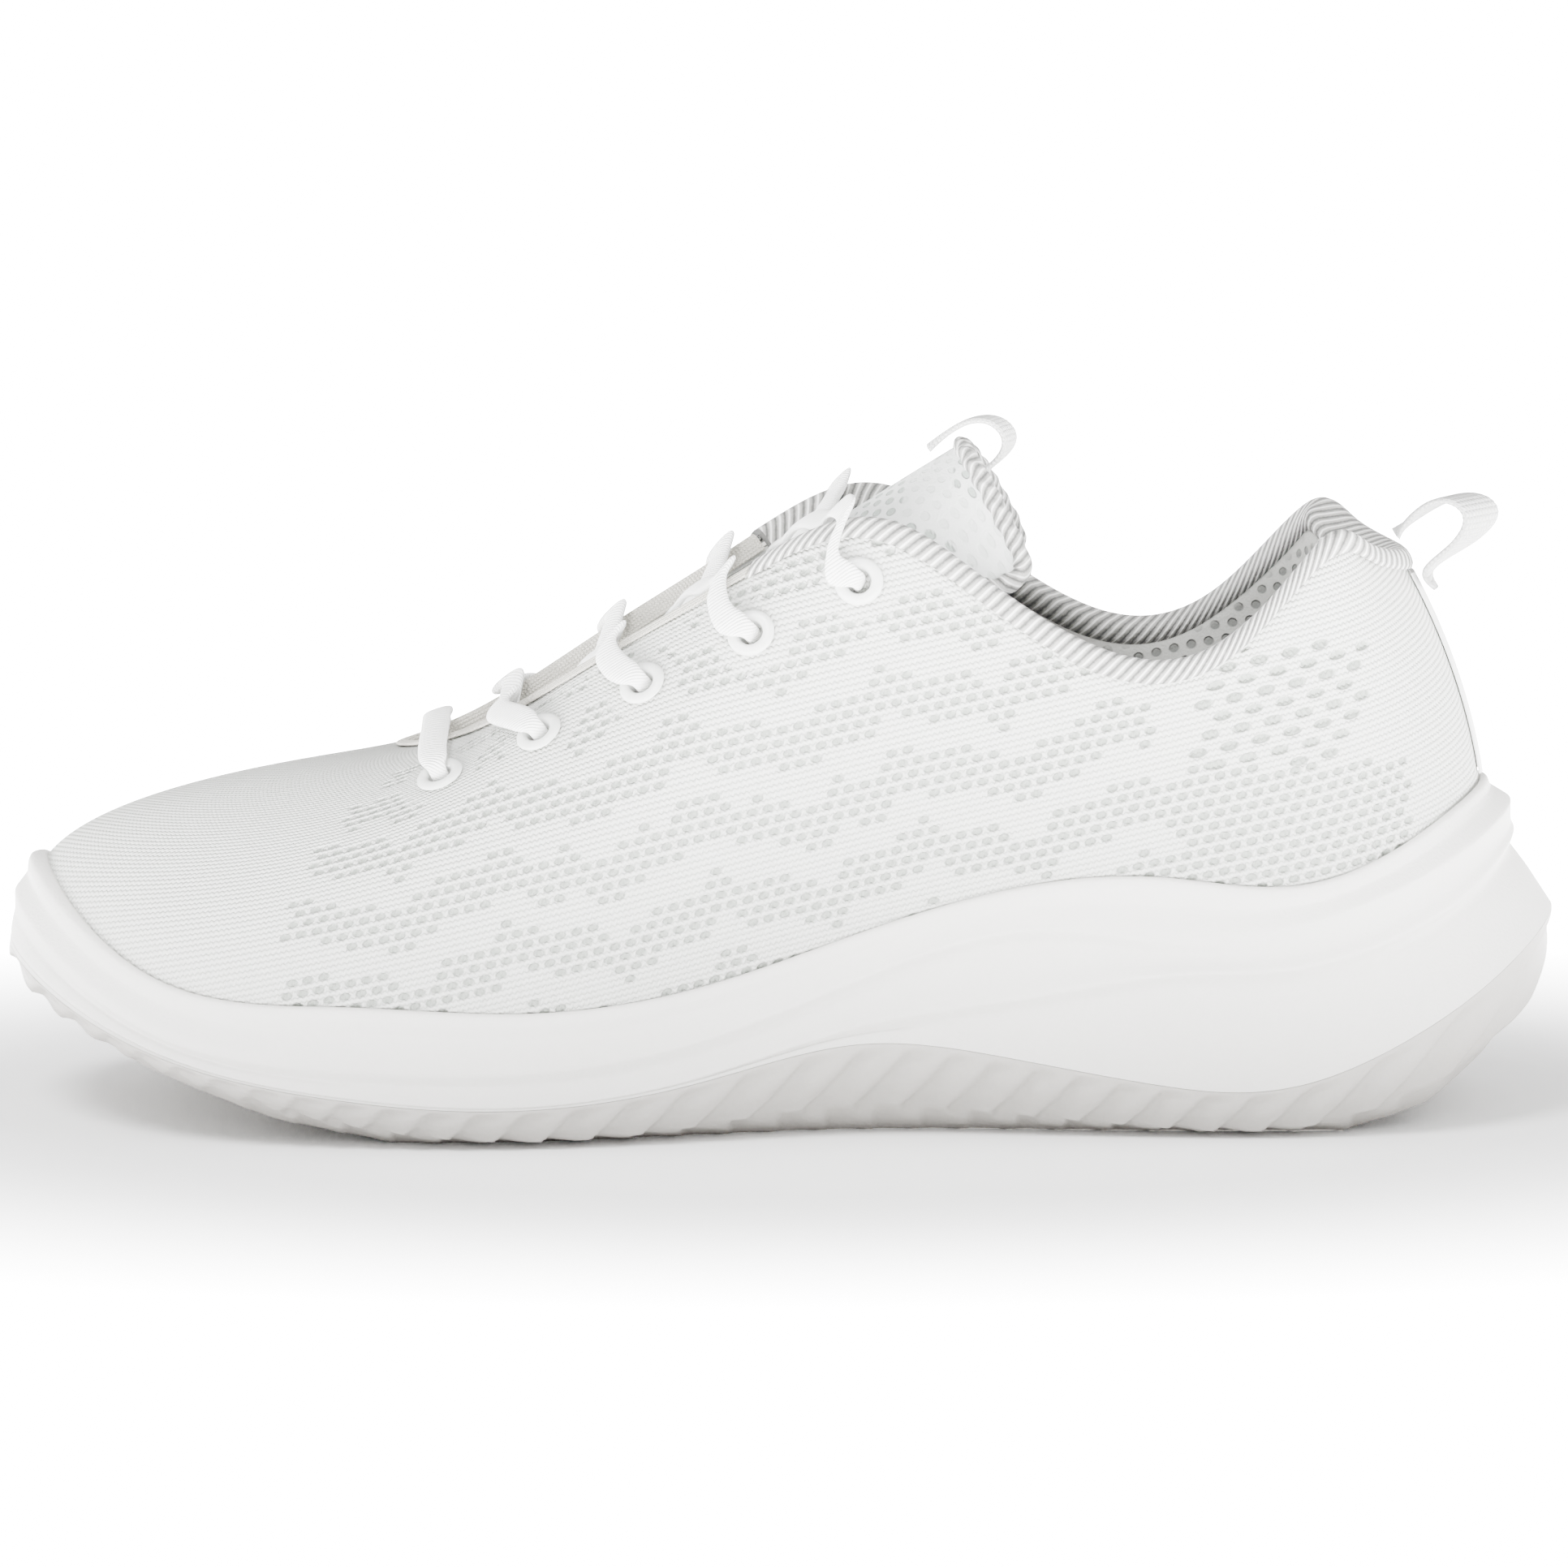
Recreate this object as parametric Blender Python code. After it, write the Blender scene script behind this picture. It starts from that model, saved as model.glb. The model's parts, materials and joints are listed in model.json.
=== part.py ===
"""Running shoe for the right foot, built as separate pieces.

+X runs from toe to heel, -Y is the inner (medial) side, +Z is up and the ground is z = 0.
The shape tables below are in millimetres for the base size; the driving sizes rescale them.
"""
import math

import bmesh
import bpy
import numpy as np

for old in list(bpy.data.objects):
    bpy.data.objects.remove(old, do_unlink=True)

# ---- driving sizes, in metres ----
SHOE_LENGTH = 0.295
SOLE_WIDTH = 0.109
COLLAR_HEIGHT = 0.115
CLEARANCE = 0.0003        # gap between pieces that touch in the real shoe
FLANGE_CLEARANCE = 0.0005 # gap under an eyelet's flange
WRAP_CLEARANCE = 0.0005   # gap inside a strip that is folded over an edge
KNIT_THICK = 0.0012
LINING_THICK = 0.0010
BACKING_THICK = 0.0008    # toe puff and eyestay reinforcements
COUNTER_THICK = 0.0012
COLLAR_PADDING = 0.0045   # extra foam at the fattest part of the collar
BINDING_THICK = 0.0008
BINDING_LEG = 0.0034      # height of the collar binding on the outside
TAPE_LEG = 0.0020         # height of the throat tape on the outside
PIPING_THICK = 0.0006
STROBEL_THICK = 0.0012
FOOTBED_THICK = 0.0040
FOOTBED_COVER = 0.0006
OUTSOLE_FLOOR = 0.0040
OUTSOLE_WALL = 0.0030
LIP_WIDTH = 0.0018        # flat top edge of the midsole cup
LACE_WIDTH = 0.0056
LACE_THICK = 0.0013
EYELET_BORE = 0.0046      # inside diameter of an eyelet ring
EYELET_FLANGE = 0.0092    # outside diameter of an eyelet ring
EYELET_WALL = 0.0006
FLANGE_THICK = 0.0007
LACE_END_DIAMETER = 0.0030
AGLET_LENGTH = 0.018
AGLET_DIAMETER = 0.0030
TONGUE_PADDING = 0.0040
WEBBING_THICK = 0.0012
HEEL_LOOP_WIDTH = 0.0120
TONGUE_LOOP_WIDTH = 0.0070
HEEL_STAY_WIDTH = 0.0090
TONGUE_LOOP_FOLD = 0.0010 # how far below the tongue's top edge its pull loop folds

MM = 0.001
SCALE = np.array([SHOE_LENGTH / 0.295, SOLE_WIDTH / 0.109, COLLAR_HEIGHT / 0.115]) * MM

# ---- the upper, as stations round the foot from the back centre by the inner side to the toe ----
# Each row: feather point on the sole, lower bulge, upper bulge, point on the opening's edge.
UPPER = [
    (131, 0, 36, 139, 0, 56, 129.5, 0, 86, 117.5, 0, 106),
    (121.5, -20, 35.5, 127.5, -25.5, 54, 119.5, -21.5, 88, 110, -17, 109),
    (98, -29.5, 34.5, 100, -38, 52, 103, -34, 92, 101.5, -25.5, 111),
    (70, -30, 33.5, 71, -37.5, 50, 82, -36, 80, 84, -33, 94),
    (42, -30, 31.5, 41, -38, 48, 58, -37, 76, 62, -33.5, 90.5),
    (14, -32, 28.5, 10, -40, 44, 35, -36, 88, 38, -30.5, 104),
    (-16, -38, 24, -22, -47, 38, 8, -33.5, 98, 16, -25, 115),
    (-48, -43.5, 19.5, -55, -53, 33, -20, -33.5, 84, -8, -20, 104),
    (-82, -43, 19.5, -89, -52, 33, -49, -31, 68.5, -34, -15.5, 88),
    (-118, -32.5, 26, -127, -40, 41, -78, -28, 60, -58, -10, 73.5),
    (-140, -3, 35, -153, -4, 54, -112, -2, 64.5, -71.5, 0, 69),
    (-122.5, 25.5, 27.5, -131, 32.5, 42, -79, 25.5, 60, -58, 10, 73.5),
    (-87, 41, 20.5, -93, 50, 34, -50, 30.5, 68.5, -34, 15.5, 88),
    (-52, 46, 19.5, -58, 55, 33, -21, 34.5, 84, -8, 20, 104),
    (-19, 44, 23.5, -24, 52.5, 38, 7, 36, 97.5, 16, 25, 115),
    (12, 38.5, 28, 10, 46.5, 43.5, 34, 37, 87, 38, 30.5, 103.5),
    (42, 34, 31.5, 42, 41.5, 47.5, 58, 37.5, 75, 62, 33.5, 89),
    (70, 31, 33.5, 71, 38.5, 50, 81.5, 36.5, 79.5, 84, 33, 93),
    (98, 29.5, 34.5, 101, 38, 52, 103, 34, 92, 101.5, 25.5, 111),
    (121.5, 20, 35.5, 127.5, 25.5, 54, 119.5, 21.5, 88, 110, 17, 109),
]
# ---- the sole at the same stations: heights of its lines, then how far each stands out ----
# Each row: rim, crease, outsole top and lower edge heights; rib, crease, outsole and lower edge flares.
SOLE = [
    (63, 50, 37, 23, 5.5, 8.5, 14.8, 12.0),
    (58, 43, 27, 13, 5.0, 6.8, 11.8, 9.0),
    (47.8, 33, 11.5, 2.5, 3.5, 4.5, 6.5, 3.5),
    (49, 37, 10.5, 2, 3.2, 4.0, 5.5, 2.5),
    (47.3, 38.5, 15.5, 4.2, 3.0, 3.2, 4.5, 0.5),
    (38.5, 30.5, 18.5, 6, 3.0, 3.2, 4.5, 0),
    (28.8, 20, 12, 3, 3.0, 3.2, 4.5, 1),
    (25.3, 15, 8, 1.5, 3.0, 3.3, 4.2, 1.5),
    (26.5, 15.5, 10, 5, 3.2, 3.6, 4.6, 2),
    (31, 23, 19, 15, 4.2, 5.6, 6.8, 3.6),
    (48.5, 39, 32, 25.5, 5.4, 6.9, 7.6, 5.6),
    (32, 23.5, 19.5, 15.5, 4.2, 5.6, 6.8, 3.6),
    (27, 16, 10.5, 5.5, 3.2, 3.8, 5.0, 2),
    (25.8, 15, 8, 1.5, 3.2, 4.0, 5.2, 2),
    (28.5, 18, 9.5, 1.5, 3.2, 4.2, 5.5, 2.5),
    (36, 26, 12.5, 2.5, 3.2, 4.2, 5.8, 2.5),
    (44, 33, 12.5, 2.5, 3.2, 4.2, 6.0, 2.5),
    (47.5, 35.5, 10.5, 2, 3.4, 4.4, 6.0, 3),
    (48, 33, 11.5, 2.5, 3.6, 4.8, 6.8, 3.5),
    (58, 43, 27, 13, 5.0, 6.8, 11.8, 9.0),
]
# Height of the tread's middle above the ground, along the shoe: toe spring, flat, heel bevel.
TREAD_X = (-142, -120, -95, -72, 106, 122, 142)
TREAD_Z = (23, 12.5, 4.2, 0, 0, 4.5, 18)

STATIONS = len(UPPER)
COLUMNS = 60
PER_STATION = COLUMNS // STATIONS
RISE = (0.2, 0.4, 0.58, 0.75, 0.89, 1.0)     # rows of the upper above the midsole rim
RIM_ROW = 2
EDGE_ROW = RIM_ROW + len(RISE)

# ---- depths of the layers below the outer face of the upper ----
BACKING_TOP = KNIT_THICK + CLEARANCE
LINING_TOP = BACKING_TOP + BACKING_THICK + CLEARANCE
STACK = LINING_TOP + LINING_THICK
LACE_UNDER = STACK + CLEARANCE + LACE_THICK / 2
TONGUE_DEPTH = STACK + 2 * CLEARANCE + LACE_THICK + 0.0004
LACE_OVER = FLANGE_CLEARANCE + FLANGE_THICK + CLEARANCE + LACE_THICK / 2


def closed_spline(table, u):
    """Smooth closed curve through equally spaced stations, one row each, read at stations u."""
    points = np.asarray(table, float)
    n = len(points)
    matrix = 4 * np.eye(n) + np.roll(np.eye(n), 1, 0) + np.roll(np.eye(n), -1, 0)
    slope = np.linalg.solve(matrix, 3 * (np.roll(points, -1, 0) - np.roll(points, 1, 0)))
    u = np.atleast_1d(np.asarray(u, float))
    base = np.floor(u)
    t = (u - base)[:, None]
    a = base.astype(int) % n
    b = (a + 1) % n
    h_a = 2 * t**3 - 3 * t**2 + 1
    h_b = 3 * t**2 - 2 * t**3
    return h_a * points[a] + h_b * points[b] + (t**3 - 2 * t**2 + t) * slope[a] + (t**3 - t**2) * slope[b]


def open_spline(points, t):
    """Smooth curve through the points, t = 0 at the first and 1 at the last."""
    p = np.asarray(points, float)
    n = len(p)
    matrix = 4 * np.eye(n) + np.eye(n, k=1) + np.eye(n, k=-1)
    matrix[0, 0] = matrix[-1, -1] = 2
    right = np.empty_like(p)
    right[1:-1] = 3 * (p[2:] - p[:-2])
    right[0] = 3 * (p[1] - p[0])
    right[-1] = 3 * (p[-1] - p[-2])
    slope = np.linalg.solve(matrix, right)
    x = np.clip(np.atleast_1d(t), 0, 1) * (n - 1)
    a = np.minimum(x.astype(int), n - 2)
    f = (x - a)[:, None]
    value = (2 * f**3 - 3 * f**2 + 1) * p[a] + (3 * f**2 - 2 * f**3) * p[a + 1]
    return value + (f**3 - 2 * f**2 + f) * slope[a] + (f**3 - f**2) * slope[a + 1]


def upper_point(u, s):
    """Outer face of the upper: station u round the foot, s = 0 at the sole and 1 at the edge."""
    controls = closed_spline(UPPER, u).reshape(-1, 4, 3)
    s = np.broadcast_to(np.asarray(s, float), (len(controls),))[:, None]
    weights = ((1 - s)**3, 3 * s * (1 - s)**2, 3 * s**2 * (1 - s), s**3)
    return sum(w * controls[:, i] for i, w in enumerate(weights)) * SCALE


def upper_normal(u, s):
    """Outward normal of the upper, from small steps along both directions."""
    step = 1e-3
    s = np.clip(np.asarray(s, float), 0.002, 0.998)
    along = upper_point(np.asarray(u) + step, s) - upper_point(np.asarray(u) - step, s)
    up = upper_point(u, s + step) - upper_point(u, s - step)
    normal = np.cross(up, along)
    return normal / np.linalg.norm(normal, axis=1)[:, None]


def unit(v):
    return np.asarray(v, float) / np.linalg.norm(v)


COLUMN_U = np.arange(COLUMNS) / PER_STATION
SOLE_LINES = closed_spline(SOLE, COLUMN_U)


def rim_share(column):
    """Where the midsole rim crosses this column of the upper, as its s value."""
    s = np.linspace(0, 0.7, 141)
    height = upper_point(np.full(141, COLUMN_U[column]), s)[:, 2]
    return float(np.interp(SOLE_LINES[column, 0] * SCALE[2], height, s))


RIM_S = np.array([rim_share(c) for c in range(COLUMNS)])
ROW_S = np.array([[0, r / 2, r] + [r + (1 - r) * f for f in RISE] for r in RIM_S])
GRID = np.array([upper_point(np.full(EDGE_ROW + 1, COLUMN_U[c]), ROW_S[c]) for c in range(COLUMNS)])
GRID_N = np.array([upper_normal(np.full(EDGE_ROW + 1, COLUMN_U[c]), ROW_S[c]) for c in range(COLUMNS)])


def on_upper(column, row, depth):
    """Point at a depth below the upper's facets; column and row may be fractions."""
    c0 = int(math.floor(column))
    r0 = min(int(math.floor(row)), EDGE_ROW - 1)
    fc = column - c0
    fr = row - r0
    place = 0
    normal = 0
    for dc, wc in ((0, 1 - fc), (1, fc)):
        for dr, wr in ((0, 1 - fr), (1, fr)):
            c = (c0 + dc) % COLUMNS
            place = place + wc * wr * GRID[c, r0 + dr]
            normal = normal + wc * wr * GRID_N[c, r0 + dr]
    return place - unit(normal) * depth


def on_face(u, s, depth):
    """Point below the upper's facets at station u and height share s."""
    column = u * PER_STATION
    c = int(math.floor(column)) % COLUMNS
    part = column - math.floor(column)
    shares = (1 - part) * ROW_S[c] + part * ROW_S[(c + 1) % COLUMNS]
    return on_upper(column, float(np.interp(s, shares, np.arange(EDGE_ROW + 1))), depth)


def station_distance(column):
    """How many stations this column is from the back centre, by the nearer way."""
    u = (column / PER_STATION) % STATIONS
    return min(u, STATIONS - u)


def smooth_step(low, high, x):
    t = min(max((x - low) / (high - low), 0), 1)
    return t * t * (3 - 2 * t)


COLLAR_END = 6.85         # station where the collar meets the throat
COUNTER_END = 3.35
COUNTER_ROW = 4
FOAM_ROW = 4


def lining_depth(column, row):
    """Outer face of the lining: it goes in behind the heel counter and the collar foam."""
    d = station_distance(column)
    heel = (COUNTER_THICK - BACKING_THICK) * smooth_step(COUNTER_END + 1.3, COUNTER_END + 0.3, d)
    bulge = np.interp(row, (3, 4, 5, 6, 7, EDGE_ROW), (0, 0.45, 1, 1, 0.6, 0.12))
    return LINING_TOP + heel + COLLAR_PADDING * bulge * smooth_step(COLLAR_END - 0.2, COLLAR_END - 2, d)


# ---- turning point grids into closed solids ----
def make_object(name, vertices, faces, material, origin=(0, 0, 0)):
    mesh = bpy.data.meshes.new(name)
    origin = np.asarray(origin, float)
    mesh.from_pydata([tuple(np.asarray(v, float) - origin) for v in vertices], [], faces)
    work = bmesh.new()
    work.from_mesh(mesh)
    bmesh.ops.recalc_face_normals(work, faces=work.faces)
    work.to_mesh(mesh)
    work.free()
    mesh.materials.append(material)
    mesh.shade_smooth()
    mesh.set_sharp_from_angle(angle=math.radians(35))
    thing = bpy.data.objects.new(name, mesh)
    thing.location = origin
    bpy.context.collection.objects.link(thing)
    return thing


def material(name, colour, roughness, metallic=0.0):
    made = bpy.data.materials.new(name)
    made.use_nodes = True
    shader = made.node_tree.nodes["Principled BSDF"]
    shader.inputs["Base Color"].default_value = (*colour, 1)
    shader.inputs["Roughness"].default_value = roughness
    shader.inputs["Metallic"].default_value = metallic
    made.diffuse_color = (*colour, 1)
    return made


def quad(a, b, c, d):
    return [(a, b, c), (a, c, d)]


def solid_between(outer, inner, closed):
    """Solid between two grids of points [column][row]; closed joins the last column to the first."""
    columns = len(outer)
    rows = len(outer[0])
    vertices = [p for line in outer for p in line] + [p for line in inner for p in line]
    side = columns * rows
    faces = []
    spans = columns if closed else columns - 1
    for c in range(spans):
        d = (c + 1) % columns
        for r in range(rows - 1):
            a, b, e, f = c * rows + r, d * rows + r, d * rows + r + 1, c * rows + r + 1
            faces += quad(a, b, e, f)
            faces += [(side + p[2], side + p[1], side + p[0]) for p in quad(a, b, e, f)]
        for r in (0, rows - 1):
            faces += quad(c * rows + r, d * rows + r, side + d * rows + r, side + c * rows + r)
    if not closed:
        for c in (0, columns - 1):
            for r in range(rows - 1):
                a = c * rows + r
                faces += quad(a, a + 1, side + a + 1, side + a)
    return vertices, faces


def rings_solid(loops, closed):
    """Solid swept through closed section loops; open sweeps get a flat cap at each end."""
    size = len(loops[0])
    vertices = [p for loop in loops for p in loop]
    faces = []
    spans = len(loops) if closed else len(loops) - 1
    for i in range(spans):
        j = (i + 1) % len(loops)
        for k in range(size):
            m = (k + 1) % size
            faces += quad(i * size + k, j * size + k, j * size + m, i * size + m)
    if not closed:
        faces.append(tuple(range(size)))
        faces.append(tuple((len(loops) - 1) * size + k for k in range(size)))
    return vertices, faces


def ladder(first):
    """Faces across a loop of COLUMNS points that starts at vertex first, rung by rung."""
    half = COLUMNS // 2
    faces = [(first, first + 1, first + COLUMNS - 1)]
    for k in range(1, half - 1):
        faces += quad(first + k, first + k + 1, first + COLUMNS - k - 1, first + COLUMNS - k)
    faces.append((first + half - 1, first + half, first + half + 1))
    return faces


def bowl(loops):
    """Closed solid from loops of COLUMNS points; the first and last loops are filled across."""
    vertices = [p for loop in loops for p in loop]
    faces = ladder(0) + ladder((len(loops) - 1) * COLUMNS)
    for i in range(len(loops) - 1):
        for k in range(COLUMNS):
            m = (k + 1) % COLUMNS
            a, b = i * COLUMNS + k, i * COLUMNS + m
            faces += quad(b, b + COLUMNS, a + COLUMNS, a)
    return vertices, faces


def layer(name, columns, rows, outer, inner, look, closed=False):
    """One sheet of the upper; outer and inner give its depths at (column, row)."""
    front = [[on_upper(c, r, outer(c, r)) for r in rows] for c in columns]
    back = [[on_upper(c, r, inner(c, r)) for r in rows] for c in columns]
    vertices, faces = solid_between(front, back, closed)
    return make_object(name, vertices, faces, look)


def flat(depth):
    return lambda c, r: depth


# ---- sole ----
RIM = np.array([on_upper(c, RIM_ROW, 0) for c in range(COLUMNS)])


def plan_normals(loop):
    step = np.roll(loop, -1, 0) - np.roll(loop, 1, 0)
    out = np.stack([step[:, 1], -step[:, 0], np.zeros(len(loop))], 1)
    out /= np.linalg.norm(out, axis=1)[:, None]
    centre = loop.mean(0)
    return out if np.sum((loop - centre) * out) > 0 else -out


RIM_OUT = plan_normals(RIM)


def sole_loop(flare, height):
    """Loop of points standing out from the rim by flare, at the given heights (metres)."""
    loop = RIM + RIM_OUT * np.broadcast_to(flare, (COLUMNS,))[:, None]
    loop[:, 2] = height
    return loop


def inset_loop(loop, distance, height):
    moved = loop - plan_normals(loop) * distance
    moved[:, 2] = height
    return moved


def build_sole():
    z_rim, z_crease, z_out, z_low = (SOLE_LINES[:, i] * SCALE[2] for i in range(4))
    f_rib, f_crease, f_out, f_low = (SOLE_LINES[:, i] * SCALE[1] for i in range(4, 8))
    outer_top = sole_loop(f_out, z_out)
    outer_mid = sole_loop(0.6 * f_out + 0.4 * f_low + 0.0008, 0.5 * (z_out + z_low))
    outer_low = sole_loop(f_low, z_low)
    tread_edge = inset_loop(outer_low, 0.007, 0)
    tread = np.interp(tread_edge[:, 0] / SCALE[0], TREAD_X, TREAD_Z) * SCALE[2]
    tread_edge[:, 2] = np.minimum(tread, z_low - 0.0008)
    tray_floor = np.minimum(np.maximum(tread + OUTSOLE_FLOOR, z_low + 0.002), z_out - 0.001)
    tray_top = inset_loop(outer_top, OUTSOLE_WALL, z_out)
    tray_low = inset_loop(outer_low, OUTSOLE_WALL + 0.001, tray_floor)
    loops = [tread_edge, outer_low, outer_mid, outer_top, tray_top, tray_low]
    make_object("outsole", *bowl(loops), material("outsole_rubber", (0.66, 0.65, 0.63), 0.62))

    seat = inset_loop(outer_low, OUTSOLE_WALL + 0.001 + 2 * CLEARANCE, tray_floor + CLEARANCE)
    step_in = inset_loop(outer_top, OUTSOLE_WALL + 2 * CLEARANCE, z_out + CLEARANCE)
    step_out = sole_loop(f_out, z_out + CLEARANCE)
    lower_rib = sole_loop(0.5 * (f_crease + f_out) + 0.0010, 0.5 * (z_crease + z_out))
    crease = sole_loop(f_crease - 0.0010, z_crease)
    upper_rib = sole_loop(f_rib, 0.45 * z_crease + 0.55 * z_rim)
    inside = [np.array([on_upper(c, r, -CLEARANCE) for c in range(COLUMNS)]) for r in (2, 1, 0)]
    inside[2][:, 2] = GRID[:, 0, 2] - CLEARANCE
    lip = sole_loop(LIP_WIDTH, inside[0][:, 2] + 0.0002)
    loops = [seat, step_in, step_out, lower_rib, crease, upper_rib, lip, *inside]
    make_object("midsole", *bowl(loops), material("midsole_foam", (0.86, 0.855, 0.84), 0.55))


def build_footbed():
    edge = np.array([on_upper(c, 0, lining_depth(c, 0) + LINING_THICK + CLEARANCE) for c in range(COLUMNS)])
    floor = GRID[:, 0, 2]
    levels = [0, STROBEL_THICK]
    board = [np.column_stack([edge[:, :2], floor + z]) for z in levels]
    make_object("strobel_board", *bowl(board), material("strobel_fabric", (0.78, 0.77, 0.73), 0.9))
    inner = inset_loop(edge, 0.0008, 0)
    base = STROBEL_THICK + CLEARANCE
    foam = [np.column_stack([inner[:, :2], floor + z]) for z in (base, base + FOOTBED_THICK)]
    make_object("sockliner_foam", *bowl(foam), material("sockliner_foam", (0.70, 0.70, 0.69), 0.85))
    top = base + FOOTBED_THICK + CLEARANCE
    cloth = [np.column_stack([inner[:, :2], floor + z]) for z in (top, top + FOOTBED_COVER)]
    make_object("sockliner_cover", *bowl(cloth), material("sockliner_cloth", (0.60, 0.61, 0.60), 0.9))


# ---- eyelets: five on each side, given on the upper as station and share of its height ----
EYELETS = [(8.70, 0.80), (8.02, 0.81), (7.32, 0.81), (6.54, 0.79), (5.86, 0.85)]
INNER, OUTER = -1, 1


def eyelet_station(side, index):
    u, s = EYELETS[index]
    return (u if side == INNER else STATIONS - u), s


def eyelet_frame(side, index):
    """Centre on the upper's face, outward normal, and a direction along the row of eyelets."""
    u, s = eyelet_station(side, index)
    normal = upper_normal(np.array([u]), s)[0]
    towards = upper_point(np.array([u + 0.01 * side]), s)[0] - upper_point(np.array([u]), s)[0]
    along = unit(towards - normal * np.dot(towards, normal))
    return on_face(u, s, 0), normal, along


def ring_points(centre, normal, along, radius, height, sides):
    across = np.cross(normal, along)
    turns = [2 * math.pi * i / sides for i in range(sides)]
    return [centre + normal * height + radius * (math.cos(t) * along + math.sin(t) * across) for t in turns]


EYELET_SIDES = 12
HOLE_RADIUS = EYELET_BORE / 2 + EYELET_WALL + CLEARANCE


def build_eyelets():
    bore = EYELET_BORE / 2
    flange_low = FLANGE_CLEARANCE
    flange_top = FLANGE_CLEARANCE + FLANGE_THICK
    profile = [
        (bore + 0.0003, flange_top), (EYELET_FLANGE / 2 - 0.0005, flange_top),
        (EYELET_FLANGE / 2, flange_low), (bore + EYELET_WALL, flange_low),
        (bore + EYELET_WALL, -STACK), (bore, -STACK),
    ]
    look = material("eyelet_plastic", (0.88, 0.89, 0.86), 0.3)
    for side, word in ((INNER, "medial"), (OUTER, "lateral")):
        for index in range(len(EYELETS)):
            centre, normal, along = eyelet_frame(side, index)
            loops = [ring_points(centre, normal, along, r, h, EYELET_SIDES) for r, h in profile]
            swept = [[loop[i] for loop in loops] for i in range(EYELET_SIDES)]
            make_object(f"eyelet_{word}_{index + 1}", *rings_solid(swept, True), look)


def punch_eyelets(thing, sides):
    """Cut the round eyelet holes of the given sides through one sheet."""
    vertices = []
    faces = []
    for side in sides:
        for index in range(len(EYELETS)):
            centre, normal, along = eyelet_frame(side, index)
            first = len(vertices)
            for height in (0.004, -0.008):
                vertices += ring_points(centre, normal, along, HOLE_RADIUS, height, EYELET_SIDES)
            n = EYELET_SIDES
            faces += [tuple(first + i for i in range(n)), tuple(first + n + i for i in reversed(range(n)))]
            for i in range(n):
                j = (i + 1) % n
                faces.append((first + i, first + n + i, first + n + j, first + j))
    cutter = make_object("eyelet_cutter", vertices, faces, thing.data.materials[0])
    cut = thing.modifiers.new("eyelet_holes", "BOOLEAN")
    cut.operation = "DIFFERENCE"
    cut.solver = "EXACT"
    cut.object = cutter
    solid = bpy.data.meshes.new_from_object(thing.evaluated_get(bpy.context.evaluated_depsgraph_get()))
    thing.modifiers.clear()
    thing.data = solid
    bpy.data.objects.remove(cutter, do_unlink=True)


# ---- upper ----
def column_range(low, high):
    """Whole columns between two stations."""
    return list(range(math.ceil(low * PER_STATION), math.floor(high * PER_STATION) + 1))


def build_upper():
    everything = range(COLUMNS)
    rows = range(EDGE_ROW + 1)
    knit = layer("upper_knit", everything, rows, flat(0), flat(KNIT_THICK),
                 material("upper_knit", (0.83, 0.84, 0.83), 0.85), closed=True)
    punch_eyelets(knit, (INNER, OUTER))
    lining = layer("lining", everything, rows, lining_depth,
                   lambda c, r: lining_depth(c, r) + LINING_THICK,
                   material("lining_mesh", (0.55, 0.56, 0.54), 0.9), closed=True)
    punch_eyelets(lining, (INNER, OUTER))
    stiff = material("stiffener_board", (0.75, 0.73, 0.68), 0.7)
    toe = STATIONS / 2
    layer("toe_puff", column_range(toe - 2, toe + 2), range(0, 5),
          flat(BACKING_TOP), flat(BACKING_TOP + BACKING_THICK), stiff)
    layer("heel_counter", column_range(-COUNTER_END, COUNTER_END), range(0, COUNTER_ROW + 1),
          flat(BACKING_TOP), flat(BACKING_TOP + COUNTER_THICK), stiff)
    backing = material("eyestay_film", (0.80, 0.80, 0.78), 0.5)
    for side, word in ((INNER, "medial"), (OUTER, "lateral")):
        span = (5.8, 9.4) if side == INNER else (STATIONS - 9.4, STATIONS - 5.8)
        strip = layer(f"eyestay_{word}", column_range(*span), (6, 7, EDGE_ROW),
                      flat(BACKING_TOP), flat(BACKING_TOP + BACKING_THICK), backing)
        punch_eyelets(strip, (side,))
    foam_outer = {FOAM_ROW: BACKING_TOP + COUNTER_THICK + CLEARANCE}
    layer("collar_foam", column_range(-4.7, 4.7), range(FOAM_ROW, EDGE_ROW + 1),
          lambda c, r: foam_outer.get(r, BACKING_TOP),
          lambda c, r: lining_depth(c, r) - CLEARANCE,
          material("collar_foam", (0.80, 0.78, 0.70), 0.9))


def edge_point(column, along, depth):
    """Point near the opening's edge; along is metres past the edge, or below it if negative."""
    top = on_upper(column, EDGE_ROW, depth)
    below = on_upper(column, EDGE_ROW - 1, depth)
    length = np.linalg.norm(top - below)
    if along <= 0:
        return on_upper(column, EDGE_ROW + along / length, depth)
    face = on_upper(column, EDGE_ROW, 0) - on_upper(column, EDGE_ROW - 1, 0)
    return top + unit(face) * along


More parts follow.
